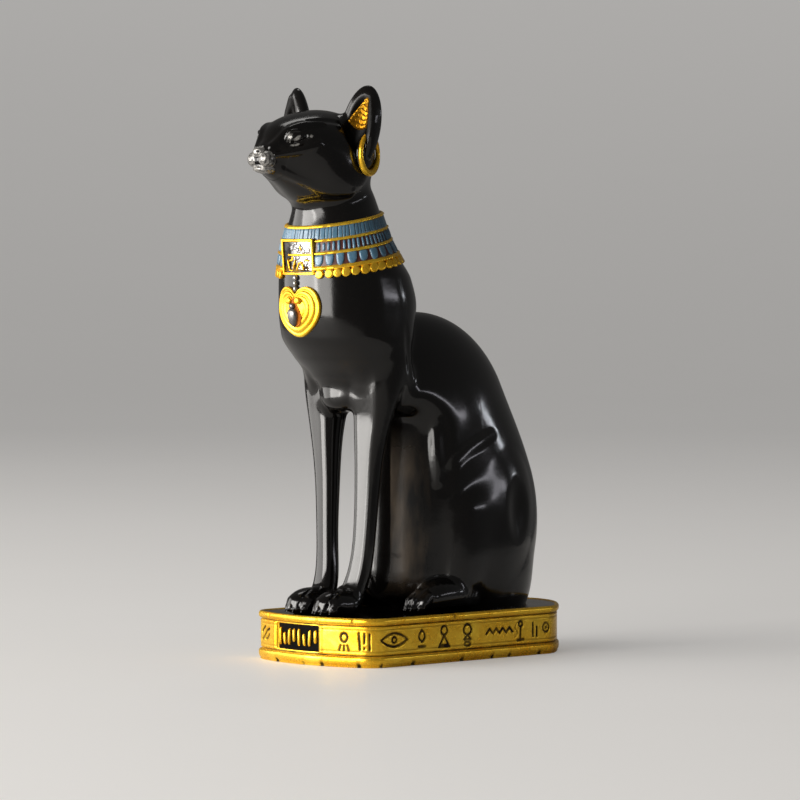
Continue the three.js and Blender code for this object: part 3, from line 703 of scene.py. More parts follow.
    def _head(self) -> Form:
        """Skull, cheeks, muzzle, ears and eyes.

        Returns:
            The form.
        """
        ear_box = ((6, -58, 216), (34, -36, 260))
        eye_box = ((2, -90, 226), (20, -70, 240))
        mouth = Limb((
            (0, -91.6, 219.5, 0.35), (3.4, -90.6, 218.6, 0.4), (6.3, -86.8, 218.9, 0.4),
            (8.2, -83.2, 218.0, 0.25),
        ), fine=3)
        brow = Limb((
            (4.6, -86.6, 228.0, 0.5), (6.9, -82.4, 231.8, 1.0), (9.0, -79.0, 235.4, 1.2),
            (12.2, -73.2, 237.6, 1.0), (15.0, -66, 238.2, 0.4),
        ), fine=4)
        temple = Limb((
            (11.8, -71.0, 239.7, 0.3), (15.2, -62.0, 239.9, 0.7), (17.2, -56.0, 239.0, 0.9),
            (19.0, -50.5, 236.8, 0.8),
        ), fine=4)
        cheek = Limb((
            (7.2, -86.5, 224.2, 0.6), (10.0, -82.2, 225.0, 1.0), (14.4, -77.0, 226.4, 1.1),
            (18.2, -70.8, 229.4, 0.6),
        ), fine=4)
        jaw = Limb((
            (5.6, -81.8, 217.6, 0.6), (8.4, -75.2, 214.6, 0.9), (12.2, -67.6, 211.2, 1.0),
            (15.4, -59.4, 209.0, 1.0), (17.4, -52.4, 208.8, 0.6),
        ), fine=4)
        pad_fold = Limb(
            ((1.9, -92.4, 226.4, 0.35), (2.3, -92.0, 222.0, 0.45), (1.2, -91.8, 219.8, 0.4)), fine=3,
        )
        return Form([
            Lump(Egg((0, -52.5, 222.3), (23.3, 23.5, 22)), 1, both=False),
            Lump(Egg((0, -66, 229), (18.3, 18.6, 12.8)), 8, both=False),
            Lump(Special(self._muzzle, (-14, -92, 209), (14, -53, 235)), 6, both=False),
            Lump(Limb(((0, -56, 212.5, 9.5), (0, -83, 220.2, 4))), 6, both=False),
            Lump(Egg((12, -54.5, 215.8), (8, 10.5, 9)), 6),
            Lump(brow, 3.0),
            Lump(cheek, 2.6),
            Lump(jaw, 3.4),
            Lump(temple, 2.4, cut=True),
            Lump(self.pad, 0.7),
            Lump(self.nose, 0.9, both=False),
            Lump(self.chin, 0.9, both=False),
            Lump(Special(self.ear.leaf, *ear_box), 3.5),
            Lump(Special(self.ear.hollow, *ear_box), 1.5, cut=True),
            Lump(Special(self.ear.ridge, *ear_box), 2.0),
            Lump(Special(self.eye.socket, *eye_box), 2.0, cut=True),
            Lump(Special(self.eye.ball, *eye_box), 0.3),
            Lump(Special(self.eye.lids, *eye_box), 0.6),
            Lump(Egg((1.7, -92.6, 225.9), (0.9, 1.6, 0.7), turn=-15), 0.4, cut=True),
            Lump(pad_fold, 0.5, cut=True),
            Lump(mouth, 0.6, cut=True),
        ], reach=4.0)

    def _head_lump(self) -> Lump:
        """The head, joined softly to the neck."""
        return Lump(Special(self.head.distance, (-36, -96, 200), (36, -28, 262)), 4, both=False)

    def distance(self, p: Points) -> Array:
        """Signed distance to the figure, which stands a little way into the plinth."""
        return np.maximum(self.form.distance(p), PLINTH_TOP - 2 - p[2])

    def skin_along(self, start: Array, direction: Array, far: float = 45.0) -> Array:
        """Distance from inner points to the skin along directions.

        Args:
            start: Inner points, one a row.
            direction: Directions, one a row.
            far: A distance that is outside for every ray.

        Returns:
            One distance for each ray.
        """
        low = np.zeros(len(start))
        high = np.full(len(start), far)
        for _ in range(20):
            middle = (low + high) / 2
            inside = self.distance(tuple((start + direction * middle[:, None]).T)) < 0
            low = np.where(inside, middle, low)
            high = np.where(inside, high, middle)
        return low


@dataclass
class Skin:
    """Points and faces of one closed piece, in the layout's millimetres."""

    points: Array
    faces: list[Array]
    marks: dict[str, Array] = field(default_factory=dict)
    normals: Array | None = None

    @staticmethod
    def joined(skins: Sequence["Skin"]) -> "Skin":
        """Several closed shells as one piece.

        Args:
            skins: The shells.

        Returns:
            The piece.
        """
        offset = 0
        faces = []
        for skin in skins:
            faces += [part + offset for part in skin.faces]
            offset += len(skin.points)
        marks = {name: np.concatenate([skin.marks[name] for skin in skins]) for name in skins[0].marks}
        return Skin(np.concatenate([skin.points for skin in skins]), faces, marks)


def placed(name: str, data: bpy.types.ID) -> Thing:
    """A new object of the scene, unturned at the origin.

    Args:
        name: Its name.
        data: What it shows.

    Returns:
        The object.
    """
    thing = bpy.data.objects.new(name, data)
    bpy.context.scene.collection.objects.link(thing)
    return thing


def put_piece(name: str, skin: Skin, finish: Finish, sharp: float | None = None) -> Thing:
    """Makes the object of a piece, rides it on the body and gives it its finish.

    Args:
        name: The piece's name.
        skin: Its points and faces.
        finish: Its material and slot.
        sharp: Edges sharper than this angle in degrees stay crisp; without it all is smooth.

    Returns:
        The new object.
    """
    mesh = bpy.data.meshes.new(name)
    points = (np.asarray(skin.points, float) + (0, ROW_SHIFT, 0)) * MM
    loops = np.concatenate([part.ravel() for part in skin.faces])
    sizes = np.concatenate([np.full(len(part), part.shape[1]) for part in skin.faces])
    mesh.vertices.add(len(points))
    mesh.vertices.foreach_set("co", points.astype(np.float32).ravel())
    mesh.loops.add(len(loops))
    mesh.loops.foreach_set("vertex_index", loops.astype(np.int32))
    mesh.polygons.add(len(sizes))
    mesh.polygons.foreach_set("loop_start", np.concatenate([[0], np.cumsum(sizes)[:-1]]).astype(np.int32))
    mesh.update(calc_edges=True)
    mesh.validate()
    mesh.polygons.foreach_set("use_smooth", np.ones(len(sizes), bool))
    for mark, values in skin.marks.items():
        layer = mesh.attributes.new(mark, "FLOAT", "POINT")
        layer.data.foreach_set("value", values.astype(np.float32))
    if skin.normals is not None:
        mesh.normals_split_custom_set_from_vertices(skin.normals.astype(np.float32))
    return dress(placed(name, mesh), finish, sharp)


def dress(piece: Thing, finish: Finish, sharp: float | None = None) -> Thing:
    """Gives a finished mesh its material and body, and reports it.

    Args:
        piece: The mesh.
        finish: The material.
        sharp: As in put_piece.

    Returns:
        The same mesh.
    """
    piece.data.materials.clear()
    piece.data.materials.append(finish.material)
    if sharp is not None:
        bpy.ops.object.select_all(action="DESELECT")
        piece.select_set(True)
        bpy.context.view_layer.objects.active = piece
        bpy.ops.object.shade_smooth_by_angle(angle=math.radians(sharp))
    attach(piece, "root")
    triangles = sum(len(face.vertices) - 2 for face in piece.data.polygons)
    log.info("%s: %d triangles", piece.name, triangles)
    return piece


class Wrapper:
    """Wraps a signed distance in one closed skin of quads on a grid of small cells."""

    CORNERS = np.array([(c & 1, (c >> 1) & 1, c >> 2) for c in range(8)])
    BLOCK = 4
    BATCH = 400000

    def __init__(self, distance: Callable[[Points], Array], low: Triple, high: Triple, cell: float) -> None:
        """Notes the field, the box and the cell size.

        Args:
            distance: The signed distance.
            low: Lowest corner of the box.
            high: Highest corner of the box.
            cell: Side of a cell.
        """
        self.distance = distance
        self.low = np.array(low, float)
        self.cell = cell
        self.blocks = np.ceil((np.array(high) - self.low) / (self.BLOCK * cell)).astype(int)

    def _sample(self) -> Array:
        """Values at the grid's nodes: measured near the skin, and only signed elsewhere.

        Returns:
            One value a node.
        """
        side = self.BLOCK * self.cell
        axes = [self.low[i] + (np.arange(self.blocks[i]) + 0.5) * side for i in range(3)]
        grid = np.meshgrid(*axes, indexing="ij")
        coarse = self.distance(tuple(g.ravel() for g in grid)).reshape(grid[0].shape)
        value = np.kron(coarse, np.ones((self.BLOCK,) * 3))
        value = np.pad(value, ((0, 1),) * 3, mode="edge").astype(np.float32)
        near = np.argwhere(np.abs(coarse) < 1.15 * side + 0.4)
        marked = np.zeros(value.shape, bool)
        for step in np.ndindex((self.BLOCK + 1,) * 3):
            marked[tuple((near * self.BLOCK + step).T)] = True
        at = np.argwhere(marked)
        for part in np.array_split(at, max(1, len(at) // self.BATCH)):
            value[tuple(part.T)] = self.distance(tuple((self.low + part * self.cell).T))
        return value

    @staticmethod
    def _split_cells() -> Array:
        """For each pattern of corners inside or outside, whether one kind falls apart.

        Returns:
            True for each pattern that falls apart.
        """
        split = np.zeros(256, bool)
        for mask in range(256):
            for kind in (0, 1):
                corners = [c for c in range(8) if (mask >> c) & 1 == kind]
                seen = corners[:1]
                for c in seen:
                    seen += [c ^ s for s in (1, 2, 4) if (mask >> (c ^ s)) & 1 == kind and c ^ s not in seen]
                split[mask] |= len(seen) < len(corners)
        return split

    def _masks(self, value: Array) -> Array:
        """The pattern of inside corners of each cell.

        Args:
            value: Values at the grid's nodes.

        Returns:
            One pattern a cell.
        """
        inside = value < 0
        a, b, c = (n - 1 for n in value.shape)
        mask = np.zeros((a, b, c), np.uint8)
        for bit, (i, j, k) in enumerate(self.CORNERS):
            mask |= inside[i:i + a, j:j + b, k:k + c].astype(np.uint8) << bit
        return mask

    def _plain(self, value: Array) -> Array:
        """Fills corners beside the skin until every cell holds one plain sheet.

        Args:
            value: Values at the grid's nodes.

        Returns:
            One pattern a cell, after the filling.
        """
        split = self._split_cells()
        for _ in range(20):
            mask = self._masks(value)
            bad = np.argwhere(split[mask])
            if len(bad) == 0:
                break
            for cell in bad:
                corners = self.CORNERS + cell
                held = value[tuple(corners.T)]
                nearest = corners[np.argmin(np.where(held >= 0, held, np.inf))]
                value[tuple(nearest)] = -0.02 * self.cell
        return mask

    def _gradient(self, p: Array, step: float) -> Array:
        """Slope of the field at points.

        Args:
            p: Points, one a row.
            step: How far off the field is read.

        Returns:
            One slope a row.
        """
        out = np.empty_like(p)
        for axis in range(3):
            ahead, behind = p.copy(), p.copy()
            ahead[:, axis] += step
            behind[:, axis] -= step
            out[:, axis] = (self.distance(tuple(ahead.T)) - self.distance(tuple(behind.T))) / (2 * step)
        return out

    def skin(self, turns: int = 2) -> Skin:
        """Builds the skin and pulls its points onto the surface.

        Args:
            turns: How many times the points are pulled.

        Returns:
            The closed skin, with the field's own normals.
        """
        value = self._sample()
        mask = self._plain(value)
        cells = np.argwhere((mask > 0) & (mask < 255))
        total = np.zeros((len(cells), 3))
        count = np.zeros(len(cells))
        for axis in range(3):
            for one in range(4):
                start = np.zeros(3, int)
                start[(axis + 1) % 3], start[(axis + 2) % 3] = one & 1, one >> 1
                end = start.copy()
                end[axis] = 1
                a, b = (value[tuple((cells + o).T)] for o in (start, end))
                crossed = (a < 0) != (b < 0)
                t = np.where(crossed, a / np.where(crossed, a - b, 1), 0)
                total[crossed] += start
                total[:, axis] += np.where(crossed, t, 0)
                count += crossed
        points = self.low + (cells + total / count[:, None]) * self.cell
        number = np.full(mask.shape, -1, np.int32)
        number[tuple(cells.T)] = np.arange(len(cells))
        faces = []
        inside = value < 0
        for axis in range(3):
            u, v = np.eye(3, dtype=int)[(axis + 1) % 3], np.eye(3, dtype=int)[(axis + 2) % 3]
            here = inside[:-1, :-1, :-1]
            there = np.roll(inside, -1, axis)[:-1, :-1, :-1]
            edges = np.argwhere(here != there)
            edges = edges[(edges > 0).all(1)]
            quad = np.stack([number[tuple((edges - o).T)] for o in (u + v, v, 0 * u, u)], 1)
            outwards = here[tuple(edges.T)]
            faces.append(np.where(outwards[:, None], quad, quad[:, ::-1]))
        for _ in range(turns):
            slope = self._gradient(points, 0.1)
            pull = self.distance(tuple(points.T)) / ((slope ** 2).sum(1) + 1e-6)
            points -= slope * np.clip(pull, -0.5 * self.cell, 0.5 * self.cell)[:, None]
        normals = self._gradient(points, 0.12)
        normals /= np.linalg.norm(normals, axis=1)[:, None] + 1e-9
        return Skin(points, [np.concatenate(faces)], normals=normals)


@dataclass(frozen=True)
class Casting:
    """The black casting, wrapped in three overlapping skins: feet, body and head."""

    feet_top: float = 48.0
    body_low: float = 45.0
    body_top: float = 188.5
    head_low: float = 185.5
    feet_cell: float = 0.55
    body_cell: float = 0.86
    head_cell: float = 0.44

    def build(self, cat: Cat, finish: Finish) -> None:
        """Makes the three pieces; the main one stands for the whole CAD node.

        Args:
            cat: The figure's field.
            finish: The black lacquer.
        """
        coarse = 1.0
        parts = (
            ("cat_body", self.body_low, self.body_top, self.body_cell, (-36, -72), (36, 78)),
            ("cat_feet", PLINTH_TOP - 2, self.feet_top, self.feet_cell, (-38, -66), (36, 78)),
            ("cat_head", self.head_low, 260.0, self.head_cell, (-36, -97), (36, -14)),
        )
        for name, bottom, top, cell, (x0, y0), (x1, y1) in parts:

            def slab(p: Points, bottom: float = bottom, top: float = top) -> Array:
                """Signed distance to the figure between two levels."""
                return np.maximum(cat.distance(p), np.maximum(bottom - p[2], p[2] - top))

            skin = Wrapper(slab, (x0, y0, bottom - 2), (x1, y1, top + 2), cell * coarse).skin()
            head = name == "cat_head"
            for mark, read in (("silver", self._silver_paint_and_highlights), ("dull", self._dull)):
                skin.marks[mark] = read(cat, skin.points) if head else np.zeros(len(skin.points))
            # Painted reflection: the flank's warm brown patch stands in for the lit room reflected in the
            # lacquer.
            skin.marks["painted_reflection"] = self._painted_reflection_mark(skin.points)
            piece = put_piece(name, skin, finish)
            if name == "cat_body":
                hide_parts("cat_figure")

    @staticmethod
    def _painted_reflection_mark(points: Array) -> Array:
        """A painted reflection: the warm brown streaked patch on the flank behind the front legs, from 0 to
        1.

        Args:
            points: The skin's points.

        Returns:
            One share a point.
        """
        x, y, z = points.T
        along = 0.698 * np.abs(x) + 0.716 * y + 0.06 * (z - 70)
        shade = np.clip((along + 16) / 4, 0, 1) * np.clip((11.5 - along) / 7, 0, 1)
        shade = shade * np.clip((106 - z) / 22, 0, 1) * np.clip((z - 27) / 14, 0, 1)
        return shade * (y > -19) * (y < 14) * (z < 110)

    @staticmethod
    def _dull(cat: Cat, points: Array) -> Array:
        """Where the lacquer is thin and dull, in the ears' hollows, from 0 to 1."""
        x, y, z = points.T
        return np.clip(1.7 - cat.ear.hollow((np.abs(x), y, z)) / 1.1, 0, 1)

    @staticmethod
    def _silver_paint_and_highlights(cat: Cat, points: Array) -> Array:
        """Where the muzzle is painted silver, and the eyes' silver strokes, which are partly painted
        highlights, from 0 to 1.

        Args:
            cat: The figure's field.
            points: The skin's points.

        Returns:
            One share a point.
        """
        x, y, z = points.T
        p = (np.abs(x), y, z)
        soft = np.full(len(points), -1.0)
        for shape, back in ((cat.pad, -86.0), (cat.nose, -87.6), (cat.chin, -83.6)):
            on_shape = 0.22 - np.abs(shape.distance(p))
            if shape is cat.pad:
                reach = np.sqrt(sum((c - o) ** 2 for c, o in zip(p, (3.4, -91.8, 222.8))))
                rings = np.cos(reach * 4.4 + 0.8 * np.sin(z * 2.1))
                on_shape = np.minimum(on_shape, 0.22 - 0.5 * np.clip(rings - 0.25, 0, 1))
            soft = np.maximum(soft, np.minimum(on_shape, back - y))
        # The eyes' silver strokes lie where their highlights fall, so they are partly painted highlights.
        soft = np.maximum(soft, cat.eye.paint(p))
        return np.clip(soft / 0.2 + 0.5, 0, 1)


class Necklace:
    """Places things on the skin of the neck and chest."""

    def __init__(
        self, cat: Cat, tilt: float = 0.174, axis_y: float = -43.0, chest_radius: float = 31.0,
    ) -> None:
        """Measures the neck's skin on a coarse net of angles and levels.

        Args:
            cat: The figure's field.
            tilt: How much lower the collar hangs in front.
            axis_y: Where the collar's axis stands.
            chest_radius: Radius that turns a width on the chest into an angle.
        """
        self.cat = cat
        self.tilt = tilt
        self.axis_y = axis_y
        self.chest_radius = chest_radius
        self.turns = 180
        self.levels = np.linspace(166, 202, 37)
        angle, level = np.meshgrid(np.arange(self.turns) * 2 * np.pi / self.turns, self.levels, indexing="ij")
        start, direction = self._rays(angle.ravel(), level.ravel())
        self.table = cat.skin_along(start, direction).reshape(angle.shape)

    def _rays(self, angle: Array, level: Array) -> tuple[Array, Array]:
        """Starts on the axis, and directions in the tilted plane.

        Args:
            angle: Turns about the axis.
            level: Levels at the axis.

        Returns:
            Starts and directions, one a row.
        """
        start = np.stack([0 * angle, self.axis_y + 0 * angle, level], 1)
        direction = np.stack([np.cos(angle), np.sin(angle), self.tilt * np.sin(angle)], 1)
        return start, direction

    def on_neck(self, angle: Array, level: Array, proud: Array | float) -> Array:
        """Points over the neck's skin.

        Args:
            angle: Turn about the axis; -pi/2 is the front.
            level: Level at the axis.
            proud: Height over the skin.

        Returns:
            One point a row.
        """
        angle, level = np.asarray(angle, float), np.asarray(level, float)
        a = (angle / (2 * np.pi) * self.turns) % self.turns
        b = np.clip((level - self.levels[0]) / (self.levels[1] - self.levels[0]), 0, len(self.levels) - 1.001)
        i, j = a.astype(int), b.astype(int)
        s, t = a - i, b - j
        n = (i + 1) % self.turns
        i = i % self.turns
        r = ((1 - s) * (1 - t) * self.table[i, j] + s * (1 - t) * self.table[n, j]
             + (1 - s) * t * self.table[i, j + 1] + s * t * self.table[n, j + 1])
        start, direction = self._rays(angle, level)
        return start + direction * (r + proud)[:, None]

    def on_chest(self, across: Array, level: Array, proud: Array | float) -> Array:
        """Points over the chest, from a width and a level.

        Args:
            across: Widths over the chest.
            level: Levels.
            proud: Heights over the skin.

        Returns:
            One point a row.
        """
        turn = np.asarray(across, float) / self.chest_radius
        level = np.asarray(level, float) + 0 * turn
        start = np.stack([0 * turn, -37 + 0 * turn, level], 1)
        direction = np.stack([np.sin(turn), -np.cos(turn), 0 * turn], 1)
        return start + direction * (self.cat.skin_along(start, direction) + proud)[:, None]


def ring_faces(rings: int, count: int, closed: bool = True) -> Array:
    """Quads between rings of points, which close round each ring.

    Args:
        rings: How many rings there are.
        count: Points in a ring.
        closed: Whether the last ring joins the first.

    Returns:
        One quad a row.
    """
    here = np.arange(rings if closed else rings - 1)[:, None] * count
    following = (here + count) % (rings * count)
    i = np.arange(count)
    j = (i + 1) % count
    return np.stack([here + i, here + j, following + j, following + i], -1).reshape(-1, 4)


def capped_faces(rings: int, count: int) -> list[Array]:
    """Quads between open rings, and a fan over each end.

    Args:
        rings: How many rings there are.
        count: Points in a ring.

    Returns:
        The quads, and the fans to the two middle points that follow the rings: the foot's, then the crown's.
    """
    total = rings * count
    ring = np.arange(count)
    after = (ring + 1) % count
    foot = np.stack([after, ring, np.full(count, total)], 1)
    crown = np.stack([total - count + ring, total - count + after, np.full(count, total + 1)], 1)
    return [ring_faces(rings, count, closed=False), np.concatenate([foot, crown])]


def mound(outline: Array, steps: Steps, place: Placer,
          centre: tuple[float, float] = (0.0, 0.0)) -> Skin:
    """A low closed mound of any outline on a curved surface.

    Args:
        outline: Points round the edge, across and up, anticlockwise seen from outside.
        steps: Scale of the outline and height, from the foot to the crown.
        place: Turns across, up and height into points.
        centre: The point the outline shrinks to.

    Returns:
        The closed skin, with a `wash` mark that is 1 at the foot.
    """
    middle = np.array(centre)
    across, up, proud = [], [], []
    for scale, height in steps:
        ring = middle + (outline - middle) * scale
        across.append(ring[:, 0])
        up.append(ring[:, 1])
        proud.append(np.full(len(ring), height))
    for height in (steps[0][1], steps[-1][1]):
        across.append(middle[:1])
        up.append(middle[1:])
        proud.append(np.array([height]))
    points = place(np.concatenate(across), np.concatenate(up), np.concatenate(proud))
    heights = np.concatenate(proud)
    wash = np.clip(1 - (heights - steps[0][1]) / max(1e-6, 0.45 * (max(heights) - steps[0][1])), 0, 1)
    return Skin(points, capped_faces(len(steps), len(outline)), {"wash": wash})


def mirrored(side: Steps) -> Array:
    """A closed outline, anticlockwise, from its right side read from the top down."""
    rows = np.array(side, float)
    return np.concatenate([rows, rows[-2:0:-1] * (-1, 1)])[::-1]


def oval(width: float, height: float, count: int = 14, squareness: float = 2.0) -> Array:
    """A closed outline between an ellipse and a rectangle, anticlockwise.

    Args:
        width: Its width.
        height: Its height.
        count: Points round it.
        squareness: 2 for an ellipse, more for a rectangle.

    Returns:
        Its points, one a row.
    """
    t = np.arange(count) * 2 * np.pi / count
    power = 2 / squareness
    x, y = (np.sign(v) * np.abs(v) ** power for v in (np.cos(t), np.sin(t)))
    return np.stack([x * width / 2, y * height / 2], 1)


@dataclass(frozen=True)
class Collar:
    """Four gold ridges, a blue ribbed row, two red rows with blue bars and petals, and gold drops."""

    levels: tuple[float, float, float, float] = (196.6, 190.6, 185.0, 178.6)
    ground: float = 0.75
    ridge_half: float = 0.75
    ridge_proud: float = 1.55
    rib_count: int = 76
    bar_count: int = 70
    petal_count: int = 32
    bead_count: int = 42
    bead_radius: float = 1.95
    plaque_half: float = 10.4
    neck_radius: float = 25.0
    row_radius: float = 26.0

    def build(self, neck: Necklace, finishes: "Finishes") -> None:
        """Makes the collar's pieces.

        Args:
            neck: The surface that carries them.
            finishes: The paints.
        """
        ground = self._band(neck, self.levels[1] + 0.3, self.levels[3] - 0.3, self.ground)
        put_piece("collar_ground", ground, finishes.red)
        put_piece("collar_ribs", self._ribs(neck), finishes.blue)
        ridges = [self._ridge(neck, level, 1.35 if i == 3 else 1.0) for i, level in enumerate(self.levels)]
        put_piece("collar_ridges", Skin.joined(ridges), finishes.gold)
        put_piece("collar_bars", Skin.joined(self._bars(neck)), finishes.blue)
        put_piece("collar_petals", Skin.joined(self._petals(neck)), finishes.blue)
        put_piece("collar_drops", Skin.joined(self._drops(neck)), finishes.gold)

    def _behind_plaque(self, angle: Array | float, spare: float = 0.0) -> Array:
        """Whether the plaque hides a place of the neck, with something to spare at its sides."""
        return (np.sin(angle) < 0) & (np.abs(np.cos(angle)) * self.neck_radius < self.plaque_half - spare)

    def _sweep(self, neck: Necklace, stops: Sequence[tuple[float, Array]], count: int) -> Skin:
        """A closed ring through stops of level and height, from the top outside and back inside.

        Args:
            neck: The surface that carries them.
            stops: Level and height of each ring.
            count: Points in a ring.

        Returns:
            The closed ring.
        """
        angle = -np.arange(count) * 2 * np.pi / count
        rings = [neck.on_neck(angle, np.full(count, level), proud + 0 * angle) for level, proud in stops]
        heights = np.concatenate([proud + 0 * angle for _, proud in stops])
        wash = np.clip((1.0 - heights) / 0.6, 0, 1)
        return Skin(np.concatenate(rings), [ring_faces(len(stops), count)], {"wash": wash})

    def _band(self, neck: Necklace, top: float, bottom: float, proud: float) -> Skin:
        """The ground under a row.

        Args:
            neck: The surface that carries them.
            top: Its upper level.
            bottom: Its lower level.
            proud: Heights over the skin.

        Returns:
            The closed band.
        """
        count = 240
        behind = self._behind_plaque(-np.arange(count) * 2 * np.pi / count, 1.0)
        outside = [(level, proud - 1.9 * behind) for level in np.linspace(top, bottom, 12)]
        return self._sweep(neck, [*outside, (bottom, -1.5), (top, -1.5)], count)

    def _ribs(self, neck: Necklace) -> Skin:
        """The top row: upright ribs of uneven width with narrow grooves.

        Args:
            neck: The surface that carries them.

        Returns:
            The closed row.
        """
        count = self.rib_count * 12
        phase = np.arange(count) / 12
        wave = np.abs((phase + 0.22 * np.sin(phase * 1.7)) % 1 - 0.5) * 2
        height = 1.12 - 0.5 * np.clip((wave - 0.72) / 0.28, 0, 1) ** 1.5 - 0.06 * np.sin(phase * 2.3)
        top, bottom = self.levels[0] - 0.2, self.levels[1] + 0.2
        stops = [*((level, height) for level in np.linspace(top, bottom, 6)), (bottom, -1.5), (top, -1.5)]
        skin = self._sweep(neck, stops, count)
        skin.marks["wash"] = np.tile(np.clip((wave - 0.7) / 0.3, 0, 1), len(stops))
        return skin

    def _ridge(self, neck: Necklace, level: float, scale: float) -> Skin:
        """A rounded gold ridge, a little uneven as cast.

        Args:
            neck: The surface that carries them.
            level: Levels at the axis.
            scale: Size against the upper ridges.

        Returns:
            The closed ridge.
        """
        count = 320
        turn = np.arange(count) * 2 * np.pi / count
        uneven = 0.07 * np.sin(turn * 23 + level) + 0.05 * np.sin(turn * 41 + 2 * level)
        half = self.ridge_half * scale
        peak = self.ridge_proud * (0.85 + 0.15 * scale)
        if level < self.levels[0]:
            uneven = uneven - 1.6 * self._behind_plaque(-turn, 1.0)
        bow = [(math.cos(t), math.sin(t)) for t in np.linspace(0, math.pi, 9)]
        foot = self.ground - 0.3
        stops = [(level + half * c, foot + (peak - self.ground + 0.3 + uneven) * s) for c, s in bow]
        return self._sweep(neck, [*stops, (level - half, -1.2), (level + half, -1.2)], count)

    def _spread(self, neck: Necklace, outline: Array, count: int, level: float, steps: Steps,
                uneven: float) -> list[Skin]:
        """Copies of a mound round the neck, each a little different.

        Args:
            neck: The surface that carries them.
            outline: One copy's outline.
            count: How many there are.
            level: Level of the row.
            steps: Scale and height, from the foot to the crown.
            uneven: How much the sizes differ.

        Returns:
            The copies.
        """
        draw = np.random.default_rng(7 + count)
        out = []
        for i in range(count):
            turn = 2 * math.pi * (i + 0.5) / count - math.pi / 2 + draw.normal(0, 0.04) * 2 * math.pi / count
            size = 1 + draw.normal(0, uneven, 2)
            if self._behind_plaque(turn):
                continue

            def place(across: Array, up: Array, proud: Array) -> Array:
                """Points over the neck round this copy's own turn."""
                return neck.on_neck(turn + across / self.row_radius, level + up, proud)

            out.append(mound(outline * size, steps, place))
        return out

    def _bars(self, neck: Necklace) -> list[Skin]:
        """The middle row's narrow upright bars.

        Args:
            neck: The surface that carries them.

        Returns:
            The bars.
        """
        level = (self.levels[1] + self.levels[2]) / 2
        steps = ((1.08, 0.2), (1.0, 0.95), (0.8, 1.25), (0.45, 1.38))
        return self._spread(neck, oval(1.25, 4.3, 14, 3.6), self.bar_count, level, steps, 0.09)

    def _petals(self, neck: Necklace) -> list[Skin]:
        """The low row's petals: a wide flat top and a round foot.

        Args:
            neck: The surface that carries them.

        Returns:
            The petals.
        """
        level = (self.levels[2] + self.levels[3]) / 2
        petal = ((0, 2.6), (1.75, 2.45), (1.9, 1.2), (1.7, -0.6), (1.15, -2.0), (0, -2.5))
        outline = smooth_loop(mirrored(petal), 2)
        steps = ((1.04, 0.2), (1.0, 0.95), (0.86, 1.3), (0.6, 1.4), (0.3, 1.42))
        return self._spread(neck, outline, self.petal_count, level + 0.1, steps, 0.06)

    def _drops(self, neck: Necklace) -> list[Skin]:
        """Round flat drops that hang under the lowest ridge.

        Args:
            neck: The surface that carries them.

        Returns:
            The drops.
        """
        outline = oval(2 * self.bead_radius, 2.1 * self.bead_radius, 16)
        steps = ((1.0, -0.4), (1.02, 0.7), (0.95, 1.35), (0.8, 1.6), (0.55, 1.55), (0.3, 1.6))
        return self._spread(neck, outline, self.bead_count, self.levels[3] - 2.5, steps, 0.05)


